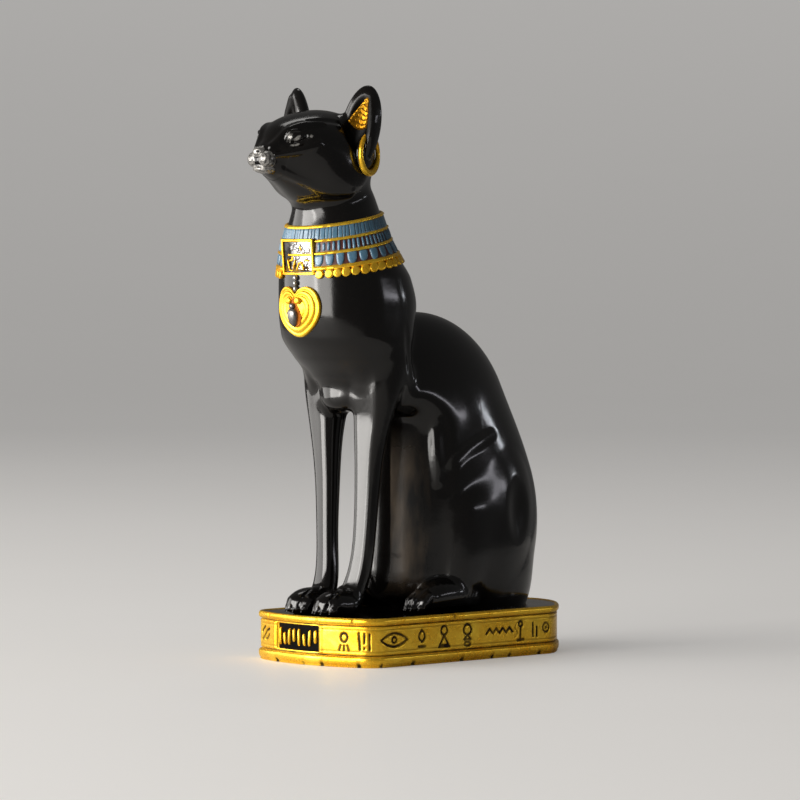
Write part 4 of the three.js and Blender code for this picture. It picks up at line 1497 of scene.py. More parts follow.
@dataclass(frozen=True)
class Plaque:
    """The framed picture at the front of the collar: gold frame, silver ground, plain generic figures."""

    width: float = 20.3
    height: float = 16.0
    level: float = 179.8
    bar: float = 1.35
    proud: float = 1.75
    lean: float = 5.0

    def build(self, neck: Necklace, finishes: "Finishes") -> None:
        """Makes the frame, the picture's ground and its relief.

        Args:
            neck: The surface that carries it.
            finishes: The paints.
        """
        seat = neck.on_chest(np.zeros(1), np.array([self.level]), 0.0)[0]
        c, s = math.cos(math.radians(self.lean)), math.sin(math.radians(self.lean))

        def place(across: Array, up: Array, proud: Array) -> Array:
            """Points over the plaque's own leaning plane.

            Args:
                across: Widths.
                up: Levels.
                proud: Heights over the skin.

            Returns:
                One point a row.
            """
            bend = across * across / 78.0
            out = proud - bend
            return np.stack([across, seat[1] - out * c - up * s, self.level + up * c - out * s], 1)

        w, h = self.width / 2, self.height / 2
        put_piece("plaque_frame", Skin.joined(self._frame(w, h, place)), finishes.gold)
        flat = (
            (1.0, -6.0), (1.0, 0.45), (0.9, 0.5),
            *((scale, 0.55) for scale in (0.75, 0.6, 0.45, 0.3, 0.15)),
        )
        skin = mound(oval(2 * w - 1.5, 2 * h - 1.5, 40, 9.0), flat, place)
        skin.marks["wash"] = np.clip((-3.0 - skin.points[:, 0]) / 0.8, 0, 1)
        put_piece("plaque_ground", skin, finishes.silver)
        put_piece("plaque_relief", Skin.joined(self._relief(place)), finishes.silver)
        put_piece("plaque_figure", Skin.joined(self._figure(place)), finishes.gold)

    def _frame(self, w: float, h: float, place: Placer) -> list[Skin]:
        """Four rounded bars and the cross bar.

        Args:
            w: Half the width.
            h: Half the height.
            place: Turns across, up and height into points.

        Returns:
            The bars.
        """
        steps = ((1.0, -5.0), (1.0, self.proud - 0.7), (0.97, self.proud - 0.25), (0.9, self.proud))
        bar, x, y = self.bar, w - self.bar / 2, h - self.bar / 2
        bars = ((0, y, 2 * w, bar), (0, -y, 2 * w, bar), (-x, 0, bar, 2 * h), (x, 0, bar, 2 * h))
        cross = self._slat(1.9, 0.9, 2 * w - 5.6, 0.95, ((1.0, -0.2), (1.0, 1.1), (0.9, 1.45)), place)
        return [*(self._slat(*row, steps, place) for row in bars), cross]

    @staticmethod
    def _slat(across: float, up: float, wide: float, tall: float, steps: Steps, place: Placer) -> Skin:
        """A rounded bar: its outline shrinks by the same amount all round.

        Args:
            across: Its middle.
            up: Its middle's level.
            wide: Its width.
            tall: Its height.
            steps: Scale and height, from the foot to the crown.
            place: Turns across, up and height into points.

        Returns:
            The bar.
        """
        base = oval(wide, tall, 56, 12.0)
        rings = []
        for scale, proud in steps:
            inset = (1 - scale) * 4.0
            ring = base.copy()
            ring[:, 0] *= (wide / 2 - inset) / (wide / 2)
            ring[:, 1] *= max(0.25, (tall / 2 - inset) / (tall / 2))
            rings.append((ring, proud))
        points = [place(ring[:, 0] + across, ring[:, 1] + up, np.full(len(ring), h)) for ring, h in rings]
        points += [place(*np.array([[across], [up], [rings[i][1]]], float)) for i in (0, -1)]
        low = len(base) * (len(rings) - 2)
        wash = np.concatenate([np.ones(low), np.zeros(2 * len(base)), [1.0, 0.0]])
        return Skin(np.concatenate(points), capped_faces(len(rings), len(base)), {"wash": wash})

    @staticmethod
    def _relief(place: Placer) -> list[Skin]:
        """Silver pebbles behind the figures.

        Args:
            place: Turns across, up and height into points.

        Returns:
            The pebbles.
        """
        draw = np.random.default_rng(11)
        out = []
        for _ in range(64):
            across, up = draw.uniform(-3.6, 8.2), draw.uniform(-6.2, 6.2)
            if abs(up - 0.9) < 0.9:
                continue
            outline = oval(*draw.uniform(1.2, 2.6, 2), 10) + (across, up)
            out.append(mound(outline, ((1.0, 0.2), (0.92, 0.75), (0.6, 0.95)), place, (across, up)))
        return out

    @staticmethod
    def _figure(place: Placer) -> list[Skin]:
        """Plain ovals in two tiers, which lean like small figures and bars.

        Args:
            place: Turns across, up and height into points.

        Returns:
            The ovals.
        """
        strokes = (
            (-5.4, -3.6, 0.85, 6.2, 12), (-3.5, -1.4, 3.6, 0.85, 12), (-1.6, -3.4, 0.85, 5.0, -22),
            (-4.2, -5.9, 3.4, 0.8, -6), (0.6, -4.6, 0.85, 3.6, -24), (2.2, -2.6, 3.2, 0.85, 10),
            (3.8, -4.2, 0.85, 3.8, 8), (6.2, -1.6, 3.0, 0.8, -8), (-2.4, -0.4, 1.5, 1.3, 0),
            (3.0, 3.9, 0.8, 2.4, 14),
        )
        out = []
        for across, up, wide, tall, tilt in strokes:
            x, y = turned(*oval(wide, tall, 16, 2.6).T, -tilt)
            outline = np.stack([x + across, y + up], 1)
            out.append(mound(outline, ((1.0, 0.2), (0.95, 1.15), (0.6, 1.45)), place, (across, up)))
        return out


@dataclass(frozen=True)
class HeartPendant:
    """A gold heart of rounded ridges with a beetle in its recess, hung from the plaque."""

    width: float = 27.0
    height: float = 22.4
    level: float = 155.6
    side: tuple[tuple[float, float], ...] = (
        (0.0, 0.36), (0.1, 0.46), (0.25, 0.5), (0.4, 0.41), (0.49, 0.2),
        (0.49, -0.02), (0.41, -0.22), (0.28, -0.37), (0.13, -0.47), (0.0, -0.5),
    )

    def build(self, neck: Necklace, finishes: "Finishes") -> None:
        """Makes the heart, its recess, the beetle and the link.

        Args:
            neck: The surface that carries them.
            finishes: The paints.
        """
        def place(across: Array, up: Array, proud: Array) -> Array:
            """Points over the chest."""
            return neck.on_chest(across, self.level + up, proud)

        outline = smooth_loop(mirrored(self.side), 6) * (self.width, self.height)
        ridges = (
            (1.0, -2.5), (1.0, 0.85), (0.99, 1.3), (0.955, 1.62), (0.9, 1.62), (0.86, 1.3), (0.84, 1.28),
            (0.81, 1.62), (0.755, 1.95), (0.7, 1.92), (0.655, 1.55), (0.635, 1.52), (0.61, 1.82),
            (0.555, 2.12),
            (0.5, 2.08), (0.455, 1.7), (0.435, 1.66), (0.41, 1.85), (0.36, 1.95), (0.2, 1.95),
        )
        put_piece("heart", mound(outline, ridges, place, (0.0, 0.6)), finishes.gold)
        drop = ((0, 6.6), (1.6, 3.6), (3.4, 0.4), (4.1, -2.6), (3.2, -5.4), (0, -6.6))
        rim = ((1.0, 0.6), (1.0, 2.25), (0.94, 2.4), (0.88, 2.2), (0.85, 2.12), (0.4, 2.1))
        recess = mound(smooth_loop(mirrored(drop), 5), rim, place, (0.0, -1.0))
        put_piece("heart_recess", recess, finishes.amber)
        self._beetle(place, finishes)
        put_piece("heart_link", Skin.joined(self._link(neck)), finishes.silver)

    @staticmethod
    def _beetle(place: Placer, finishes: "Finishes") -> None:
        """Wing cases, a head, and two gold discs beside it.

        Args:
            place: Turns across, up and height into points.
            finishes: The paints.
        """
        half = ((0, 1.6), (1.7, 1.2), (2.6, -0.6), (2.4, -3.2), (1.3, -5.6), (0, -6.6))
        domed = ((1.0, 1.2), (1.0, 2.7), (0.93, 3.3), (0.8, 3.75), (0.55, 4.1), (0.25, 4.2))
        case = mound(smooth_loop(mirrored(half), 4) + (-0.5, 0), domed, place, (-0.5, -2.0))
        top = oval(2.9, 2.6, 20) + (-0.5, 2.6)
        crown = mound(top, ((1.0, 1.2), (1.0, 2.9), (0.8, 3.5), (0.4, 3.75)), place, (-0.5, 2.6))
        put_piece("beetle", Skin.joined([case, crown]), finishes.steel)
        discs = []
        steps = ((1.0, 0.8), (1.0, 2.9), (0.85, 3.4), (0.45, 3.6))
        for middle in ((-2.5, 5.0), (2.7, 5.0)):
            discs.append(mound(oval(3.1, 3.3, 18) + middle, steps, place, middle))
        put_piece("heart_discs", Skin.joined(discs), finishes.gold)

    @staticmethod
    def _link(neck: Necklace) -> list[Skin]:
        """Three small beads between the plaque and the heart.

        Args:
            neck: The surface that carries them.

        Returns:
            The beads.
        """
        out = []
        steps = ((1.0, -0.5), (1.0, 0.9), (0.75, 1.6), (0.35, 1.85))
        for level, wide, tall in ((170.6, 2.0, 2.4), (168.2, 1.7, 2.4), (165.8, 1.9, 2.6)):

            def place(across: Array, up: Array, proud: Array) -> Array:
                """Points over the chest round this bead's own level."""
                return neck.on_chest(across, level + up, proud)

            out.append(mound(oval(wide, tall, 14), steps, place))
        return out


@dataclass(frozen=True)
class EarTrim:
    """The gold scaled patch in the left ear, and a gold hoop under each ear."""

    hoop_centre: Triple = (23.6, -45.6, 225.0)
    hoop_radius: float = 8.4
    hoop_tube: float = 1.05
    hoop_turn: float = 20.0

    def build(self, cat: Cat, finishes: "Finishes") -> None:
        """Makes the patch, the hoops and the black studs inside them.

        Args:
            cat: The figure's field.
            finishes: The paints.
        """
        put_piece("ear_patch_left", self._patch(cat), finishes.dark_gold)
        for side, name in ((1, "left"), (-1, "right")):
            self._hoop(side, name, finishes)

    def _patch(self, cat: Cat) -> Skin:
        """A tapering patch of overlapping scales on the hollow's floor.

        Args:
            cat: The figure's field.

        Returns:
            The closed patch.
        """
        rows, columns = 84, 48
        v = np.linspace(0, 1, rows)[:, None] + np.zeros((1, columns))
        u = np.linspace(-1, 1, columns)[None, :] + np.zeros((rows, 1))
        left = np.array([-5.0, 2.6]) + v[..., None] * (5.8, 11.2)
        right = np.array([2.9, 1.2]) + v[..., None] * (0.1, 12.0)
        flat = left + (right - left) * (u[..., None] + 1) / 2
        across = flat[..., 0] - 0.5 * np.sin(v * np.pi) * (1 - u) / 2
        up = flat[..., 1] - 2.4 * (1 - u * u) * (1 - v) ** 3 + 0.9 * (1 - u * u) * v ** 4
        ear = cat.ear
        start = ear.place(across.ravel(), np.full(across.size, -7.0), up.ravel())
        heading = ear.place(across.ravel(), np.full(across.size, -6.0), up.ravel()) - start
        depth = np.zeros(len(start))
        for _ in range(60):
            gap = cat.distance(tuple((start + heading * depth[:, None]).T))
            depth += np.clip(gap, -0.2, 0.6) * 0.8
        row = v * 7.0 + 0.35 * u * u + 0.12 * np.sin(u * 5)
        stagger = 0.5 * (np.floor(row) % 2)
        column = across / 1.75 + stagger + 0.2 * np.sin(np.floor(row) * 3.1)
        cell_u = np.abs(column % 1 - 0.5) * 2
        cell_v = row % 1
        edge = np.minimum((1 - cell_u) * 0.8 + 0.35 * cell_v, cell_v * 1.5 - 0.2 * cell_u + 0.05)
        rim = np.clip((1 - np.abs(u)) / 0.16, 0, 1) * np.clip(v / 0.05, 0, 1) * np.clip((1 - v) / 0.06, 0, 1)
        scales = np.clip(edge / 0.3, 0, 1)
        height = (0.15 + 0.5 * scales - 0.2 * cell_v) * rim
        outer = start + heading * (depth - 0.04 - height.ravel())[:, None]
        inner = start + heading * (depth + 1.1)[:, None]
        grid = np.arange(rows * columns).reshape(rows, columns)
        a, b, c, d = (g.ravel() for g in (grid[:-1, :-1], grid[:-1, 1:], grid[1:, 1:], grid[1:, :-1]))
        front = np.stack([a, b, c, d], 1)
        back = front[:, ::-1] + rows * columns
        edge_loop = np.concatenate([grid[0, :-1], grid[:-1, -1], grid[-1, :0:-1], grid[:0:-1, 0]])
        after = np.roll(edge_loop, -1)
        wall = np.stack([after, edge_loop, edge_loop + rows * columns, after + rows * columns], 1)
        wash = np.concatenate([(1 - scales * 0.95).ravel(), np.ones(rows * columns)])
        return Skin(np.concatenate([outer, inner]), [front, back, wall], {"wash": wash})

    def _hoop(self, side: int, name: str, finishes: "Finishes") -> None:
        """A ring of round wire, thicker at the foot, round a black domed stud.

        Args:
            side: 1 for the cat's left, -1 for its right.
            name: The side's name.
            finishes: The paints.
        """
        x, y, z = self.hoop_centre
        turn = math.radians(self.hoop_turn)
        centre = Vector((side * x, y + ROW_SHIFT, z)) * MM
        facing = (math.pi / 2, 0, math.pi / 2 + side * turn)
        bpy.ops.object.select_all(action="DESELECT")
        bpy.ops.mesh.primitive_torus_add(
            major_radius=self.hoop_radius * MM, minor_radius=self.hoop_tube * MM, major_segments=96,
            minor_segments=20, location=centre, rotation=facing,
        )
        hoop = bpy.context.object
        hoop.name = f"hoop_{name}"
        for vertex in hoop.data.vertices:
            radial = Vector((vertex.co.x, vertex.co.y, 0))
            crown = radial.normalized() * self.hoop_radius * MM
            low = max(0.0, -radial.normalized().y)
            vertex.co = crown + (vertex.co - crown) * (1 + 0.45 * low)
        bpy.ops.object.transform_apply(location=True, rotation=True, scale=True)
        self._marked(hoop, "wash")
        dress(hoop, finishes.gold)
        bpy.ops.object.select_all(action="DESELECT")
        bpy.ops.mesh.primitive_uv_sphere_add(
            segments=64, ring_count=32, radius=(self.hoop_radius - 0.2) * MM,
            location=centre, rotation=facing,
        )
        stud = bpy.context.object
        stud.name = f"hoop_stud_{name}"
        stud.scale = (1, 1, 0.3)
        stud.location = centre - Vector((side * math.cos(turn), math.sin(turn), 0)) * 1.9 * MM
        bpy.ops.object.transform_apply(location=True, rotation=True, scale=True)
        for mark in ("silver", "dull", "painted_reflection"):
            self._marked(stud, mark)
        dress(stud, finishes.black)
        for piece in (hoop, stud):
            piece.data.polygons.foreach_set("use_smooth", np.ones(len(piece.data.polygons), bool))

    @staticmethod
    def _marked(piece: Thing, mark: str) -> None:
        """Gives a piece an empty mark, which its paint reads as 0."""
        piece.data.attributes.new(mark, "FLOAT", "POINT")


@dataclass(frozen=True)
class Stroke:
    """One cut of the band: a line between two places along and up the band."""

    along: float
    up: float
    to_along: float
    to_up: float
    half: float = 0.45

    def distance(self, s: Array, z: Array) -> Array:
        """Distance to the line, less its half width.

        Args:
            s: Places along the band.
            z: Levels.

        Returns:
            One distance a place.
        """
        dx, dz = self.to_along - self.along, self.to_up - self.up
        h = np.clip(((s - self.along) * dx + (z - self.up) * dz) / (dx * dx + dz * dz + 1e-9), 0, 1)
        return np.hypot(s - self.along - h * dx, z - self.up - h * dz) - self.half


class Edge(NamedTuple):
    """Even points round the plinth, their outward normals, and millimetres along from the front's middle."""

    points: Array
    normals: Array
    along: Array


@dataclass(frozen=True)
class Plinth:
    """The long plinth: a gold rim, a band of shallow strokes between grooves, and a rounded foot."""

    width: float = 79.0
    straight: float = 113.0
    front_bow: float = 9.5
    rear_bow: float = 28.0
    height: float = PLINTH_TOP
    rim: float = 3.1
    foot: float = 5.0
    field_inset: float = 1.0
    groove_inset: float = 1.7
    panel_middle: float = -3.6
    panel_half: float = 14.6
    panel_depth: float = 1.3
    step: float = 0.36

    def outline(self, steps: int = 260) -> Edge:
        """The edge of the plinth in plan: straight sides and two bowed ends.

        Args:
            steps: Points along each bowed end before they are evened out.

        Returns:
            The edge, which runs from the front's middle towards the cat's left.
        """
        half = self.width / 2
        corners = []
        for sign, bow, soft in ((-1, self.front_bow, 7.0), (1, self.rear_bow, 4.0)):
            u = -np.cos(np.pi * np.arange(steps + 1) / steps)
            u = u if sign < 0 else -u
            edge = np.maximum(0, (np.abs(u) - (1 - soft / half)) / (soft / half))
            drop = soft * (1 - np.sqrt(np.maximum(0, 1 - edge * edge)))
            corners.append(np.stack([u * half, sign * (self.straight / 2 + bow * (1 - u * u) - drop)], 1))
        loop = np.concatenate(corners)
        loop = np.concatenate([loop, loop[:1]])
        run = np.concatenate([[0], np.cumsum(np.linalg.norm(np.diff(loop, axis=0), axis=1))])
        count = int(run[-1] / self.step)
        start = run[steps // 2]
        s = np.arange(count) * run[-1] / count
        at = (start + s) % run[-1]
        points = np.stack([np.interp(at, run, loop[:, i]) for i in range(2)], 1)
        ahead, behind = np.roll(points, -2, 0), np.roll(points, 2, 0)
        tangent = (ahead - behind) / np.linalg.norm(ahead - behind, axis=1)[:, None]
        normals = np.stack([tangent[:, 1], -tangent[:, 0]], 1)
        s = np.where(s > run[-1] / 2, s - run[-1], s)
        return Edge(points, normals, s)

    def build(self, finishes: "Finishes") -> None:
        """Makes the gold skin, the black core and the front panel.

        Args:
            finishes: The paints.
        """
        edge = self.outline()
        put_piece("plinth_gold", self._gold(edge), finishes.gold)
        put_piece("plinth_core", self._core(edge), finishes.black, sharp=40)
        panel = put_piece("front_panel", self._panel(edge), finishes.matt, sharp=50)
        panel.data.attributes.new("silver", "FLOAT", "POINT")
        put_piece("panel_strokes", Skin.joined(self._panel_strokes(edge)), finishes.gold)

    def _levels(self) -> Array:
        """The gold skin's profile: height and inset, from the foot up and over the rim.

        Returns:
            One row a level.
        """
        top, foot = self.height, self.foot
        quarter = math.pi / 2
        foot_bow = [(0.9 + 1.9 * (1 - math.cos(t)), 1.1 - math.sin(t)) for t in np.linspace(0, quarter, 5)]
        upper_bow = [
            (foot - 1.3 + 1.3 * math.sin(t), 1.5 - 1.4 * math.cos(t))
            for t in np.linspace(0.1, quarter, 7)
        ]
        low, high = foot, top - self.rim
        grooves = [(z, self.groove_inset) for z in (low + 0.15, low + 0.45, high - 0.45, high - 0.15)]
        band = [(z, self.field_inset) for z in np.linspace(low + 0.75, high - 0.75, 34)]
        half = self.rim / 2
        rim = [
            (top - half - half * math.cos(t), 1.15 - 1.05 * math.sin(t))
            for t in np.linspace(0.15, math.pi, 15)
        ]
        foot_rows = [(0.0, 1.3), (0.35, 0.75), *foot_bow, *upper_bow]
        return np.array([
            *foot_rows, *grooves[:2], *band, *grooves[2:], *rim, (top - 0.25, 2.0), (top - 0.9, 2.5),
        ])

    def _cuts(self, s: Array, z: Array) -> Array:
        """Depth of the cut strokes over the band, from 0 to 1.

        Args:
            s: Places along the band.
            z: Levels.

        Returns:
            One depth a place.
        """
        middle = (self.foot + self.height - self.rim) / 2
        total = np.full(s.shape, 9.0)
        for stroke in self._strokes(middle):
            near = np.abs(s - (stroke.along + stroke.to_along) / 2) < 9
            total[near] = np.minimum(total[near], stroke.distance(s[near], z[near]))
        return np.clip(0.5 - total / 0.35, 0, 1)

    @staticmethod
    def _strokes(m: float) -> list[Stroke]:
        """Generic marks in the places of the band's signs: bars, almonds, zigzags, rings and dots.

        Args:
            m: Level of the band's middle.

        Returns:
            The strokes.
        """
        out: list[Stroke] = []

        def chain(points: Steps, half: float = 0.52) -> None:
            """A mark drawn through points."""
            for (a, b), (c, d) in zip(points[:-1], points[1:]):
                out.append(Stroke(a, m + b, c, m + d, half))

        def ring(at: float, up: float, wide: float, tall: float, half: float = 0.5) -> None:
            """An oval line.

            Args:
                at: Its place along the band.
                up: How far over the middle.
                wide: Its width.
                tall: Its height.
                half: Half the line's width.
            """
            chain([
                (at + wide * math.cos(t), up + tall * math.sin(t))
                for t in np.linspace(0, 2 * math.pi, 15)
            ], half)

        def almond(at: float, up: float, wide: float, tall: float) -> None:
            """Two bowed lines that meet at their ends, round a dot.

            Args:
                at: Its place along the band.
                up: How far over the middle.
                wide: Its width.
                tall: Its height.
            """
            for sign in (1, -1):
                chain([(at + wide * t, up + sign * tall * (1 - t * t)) for t in np.linspace(-1, 1, 9)])
            ring(at, up, tall * 0.45, tall * 0.45)

        chain([(-33, -2.6), (-30, -1.0), (-27.5, 1.6), (-25, 2.4)])
        chain([(-32.6, 0.8), (-31.2, 2.4), (-29.4, 3.2)])
        chain([(-28.4, -2.2), (-26.6, -1.6), (-25.2, -0.2)])
        ring(24.6, 1.3, 1.7, 2.0)
        for ray in (-1, 0, 1):
            chain([(24.6 + 1.7 * ray, -2.2), (24.6 + 2.4 * ray, -4.2)])
        chain([(32.0, 3.4), (32.6, -3.8)])
        chain([(34.9, 3.2), (34.9, -0.8)])
        chain([(34.9, -3.2), (35.0, -3.2)])
        chain([(37.4, 3.0), (37.6, -3.8)])
        almond(51.2, 0.2, 8.0, 2.9)
        for side in (1, -1):
            chain([(68.2 + side * 1.8 * (1 - t * t), 0.9 + 2.6 * t) for t in np.linspace(-1, 1, 9)])
        chain([(66.2, -3.7), (70.2, -3.7)])
        ring(82.0, 2.6, 1.9, 1.9)
        chain([(82.0, 0.6), (79.2, -4.0), (84.8, -4.0), (82.0, 0.6)])
        chain([(78.8, -4.6), (85.4, -4.6)])
        ring(96.6, 2.2, 2.4, 2.3)
        chain([(96.6, -0.2), (94.4, -2.2), (98.8, -2.2), (96.6, -0.2)])
        ring(96.6, -4.2, 1.8, 0.9)
        chain([(108.5 + 2.1 * i, 0.5 + (1.2 if i % 2 else -1.0)) for i in range(9)])
        ring(130.4, 2.8, 1.2, 1.2)
        chain([(130.4, 1.4), (130.2, -4.4)])
        chain([(128.4, -4.4), (132.4, -4.2)])
        chain([(138.4, 2.8), (138.4, -3.2)])
        chain([(140.8, 1.0), (140.8, -3.2)])
        ring(146.8, 0.4, 2.0, 2.1)
        ring(146.8, 0.4, 0.3, 0.3)
        for i in range(14):
            at = -52.0 - 10.4 * i
            kind = i % 4
            if kind == 0:
                chain([(at, 3.6), (at + 1.5, -3.8)])
                for up in (1.6, -1.8):
                    ring(at + 3.6, up, 0.3, 0.3)
            elif kind == 1:
                almond(at, 0.2, 4.2, 2.0)
            elif kind == 2:
                chain([(at - 4.55 + 1.3 * j, 0.9 if j % 2 else -0.7) for j in range(8)])
            else:
                chain([(at, 3.4), (at, -3.6)])
                chain([(at - 2.6, -3.6), (at + 2.6, -3.6)])
        return out

    def _gold(self, edge: Edge) -> Skin:
        """The gold skin with its strokes, frame lines, crack, chips and hammered surface.

        Args:
            edge: The plinth's edge.

        Returns:
            The closed skin.
        """
        points, normals, s = edge
        levels = self._levels()
        count = len(points)
        z = levels[:, 0][:, None] + np.zeros((1, count))
        inset = levels[:, 1][:, None] + np.zeros((1, count))
        along = s[None, :] + np.zeros((len(levels), 1))
        low, high = self.foot + 0.75, self.height - self.rim - 0.75
        on_band = np.clip((z - low) / 0.2, 0, 1) * np.clip((high - z) / 0.2, 0, 1)
        in_panel = np.clip((self.panel_half - np.abs(along - self.panel_middle)) / 0.4, 0, 1) * on_band
        cut = self._cuts(along, z) * on_band * (1 - in_panel)
        frame_lines = sum(np.exp(-((z - end - off) / 0.28) ** 2) for end, off in ((low, 1.3), (high, -1.3)))
        frame_lines = frame_lines * on_band * (1 - in_panel)
        hammered = 0.03 * np.sin(along * 0.7 + 1.1 * np.sin(z * 0.6))
        hammered = hammered * np.sin(z * 0.7 + 1.3 * np.sin(along * 0.31))
        post = np.exp(-((np.abs(along - self.panel_middle) - self.panel_half - 1.4) / 0.9) ** 2) * on_band
        nick = sum(np.exp(-((along - at) / 0.7) ** 2) for at in (10.4, 29.4, -24.0, 88.0))
        nick = nick * np.clip((z - self.height + self.rim) / 0.8, 0, 1)
        crack = np.clip(1 - np.abs(along - 127.6 - 0.9 * np.sin(z * 1.3)) / 0.35, 0, 1)
        crack = crack * on_band * (z > 8.5) * (z < 15.5)
        chips = np.sin(along * 0.83) * np.sin(along * 0.31 + 1.1) * np.sin(along * 0.117 + 0.4)
        chips = np.clip(chips * 2.2 - 0.75, 0, 1) * np.clip((2.6 - z) / 1.2, 0, 1)
        inset = inset + 0.5 * cut + 0.1 * frame_lines + hammered * on_band - 0.55 * post
        inset = inset + 0.5 * nick + 0.6 * crack + 0.5 * chips + self.panel_depth * in_panel
        wash = np.clip(cut * 1.8 + frame_lines * 0.75 + crack * 1.2 + chips * 1.4 + nick * 0.5, 0, 1)
        groove = np.clip((levels[:, 1] - 1.25) / 0.4, 0, 1)[:, None] * (z < self.height - 1.5)
        wash = np.maximum(wash, groove * 0.9)
        outer = points[None] - normals[None] * inset[:, :, None]
        shell = np.concatenate([outer, z[:, :, None]], 2)
        inside = points - normals * 5.5
        inner = [
            np.concatenate([inside, np.full((count, 1), level)], 1)
            for level in (self.height - 1.2, 0.6)
        ]
        verts = np.concatenate([shell.reshape(-1, 3), *inner])
        faces = ring_faces(len(levels) + 2, count)
        wash = np.concatenate([wash.ravel(), np.ones(2 * count)])
        return Skin(verts, [faces], {"wash": wash})

    def _core(self, edge: Edge) -> Skin:
        """The black top inside the rim, down to the flat underside.

        Args:
            edge: The plinth's edge.

        Returns:
            The closed core.
        """
        every = slice(None, None, 4)
        p, n = edge.points[every], edge.normals[every]
        below = ((1.5, 3.2), (0.75, 1.9), (0.42, 2.15), (0.3, 2.7), (0.28, 6.0))
        profile = ((0.0, 3.4), (0.5, 3.2), *((self.height - drop, inset) for drop, inset in below))
        rings = [np.concatenate([p - n * inset, np.full((len(p), 1), z)], 1) for z, inset in profile]
        centres = np.array([(0, 9, 0.0), (0, 9, self.height - 0.28)])
        verts = np.concatenate([*rings, centres])
        return Skin(verts, capped_faces(len(rings), len(p)), {"silver": np.zeros(len(verts))})

    def _at(self, edge: Edge) -> Placer:
        """A placer over the front panel: along, up and height over its floor.

        Args:
            edge: The plinth's edge.

        Returns:
            The placer.
        """
        order = np.argsort(edge.along)
        points, normals, s = (part[order] for part in edge)

        def place(across: Array, up: Array, proud: Array) -> Array:
            """Points over the panel's floor, which follows the bow of the front.

            Args:
                across: Places along the edge.
                up: Levels.
                proud: Heights over the skin.

            Returns:
                One point a row.
            """
            p = np.stack([np.interp(across, s, points[:, i]) for i in range(2)], 1)
            n = np.stack([np.interp(across, s, normals[:, i]) for i in range(2)], 1)
            floor = self.field_inset + self.panel_depth
            return np.concatenate([p + n * (proud - floor)[:, None], up[:, None]], 1)

        return place

    def _panel(self, edge: Edge) -> Skin:
        """The black floor of the front panel.

        Args:
            edge: The plinth's edge.

        Returns:
            The floor.
        """
        place = self._at(edge)
        low, high = self.foot + 0.55, self.height - self.rim - 0.55
        middle = (self.panel_middle, (low + high) / 2)
        outline = oval(2 * self.panel_half + 0.6, high - low, 80, 14.0) + middle
        return mound(outline, ((1.0, -1.4), (1.0, 0.16), (0.8, 0.2), (0.4, 0.2)), place, middle)

    def _panel_strokes(self, edge: Edge) -> list[Skin]:
        """A row of raised gold strokes in the panel; they aren't letters.

        Args:
            edge: The plinth's edge.

        Returns:
            The strokes.
        """
        place = self._at(edge)
        middle = (self.foot + self.height - self.rim) / 2
        steps = ((1.0, -0.6), (1.0, 0.75), (0.8, 1.15))
        out = []

        def bar(at: float, up: float, length: float, wide: float, tilt: float) -> None:
            """One rounded stroke."""
            x, y = turned(*oval(wide, length, 14, 3.4).T, -tilt)
            out.append(mound(np.stack([x + at, y + up], 1), steps, place, (at, up)))

        pitch = 2 * (self.panel_half - 2.6) / 7
        for i in range(8):
            at = self.panel_middle - self.panel_half + 2.6 + i * pitch
            lift, length, tilt = ((0, 7.6, 0), (-0.9, 5.4, 6), (0, 7.2, -4), (0.7, 5.8, 0))[i % 4]
            bar(at, middle + lift, length, 1.3, tilt)
        return out


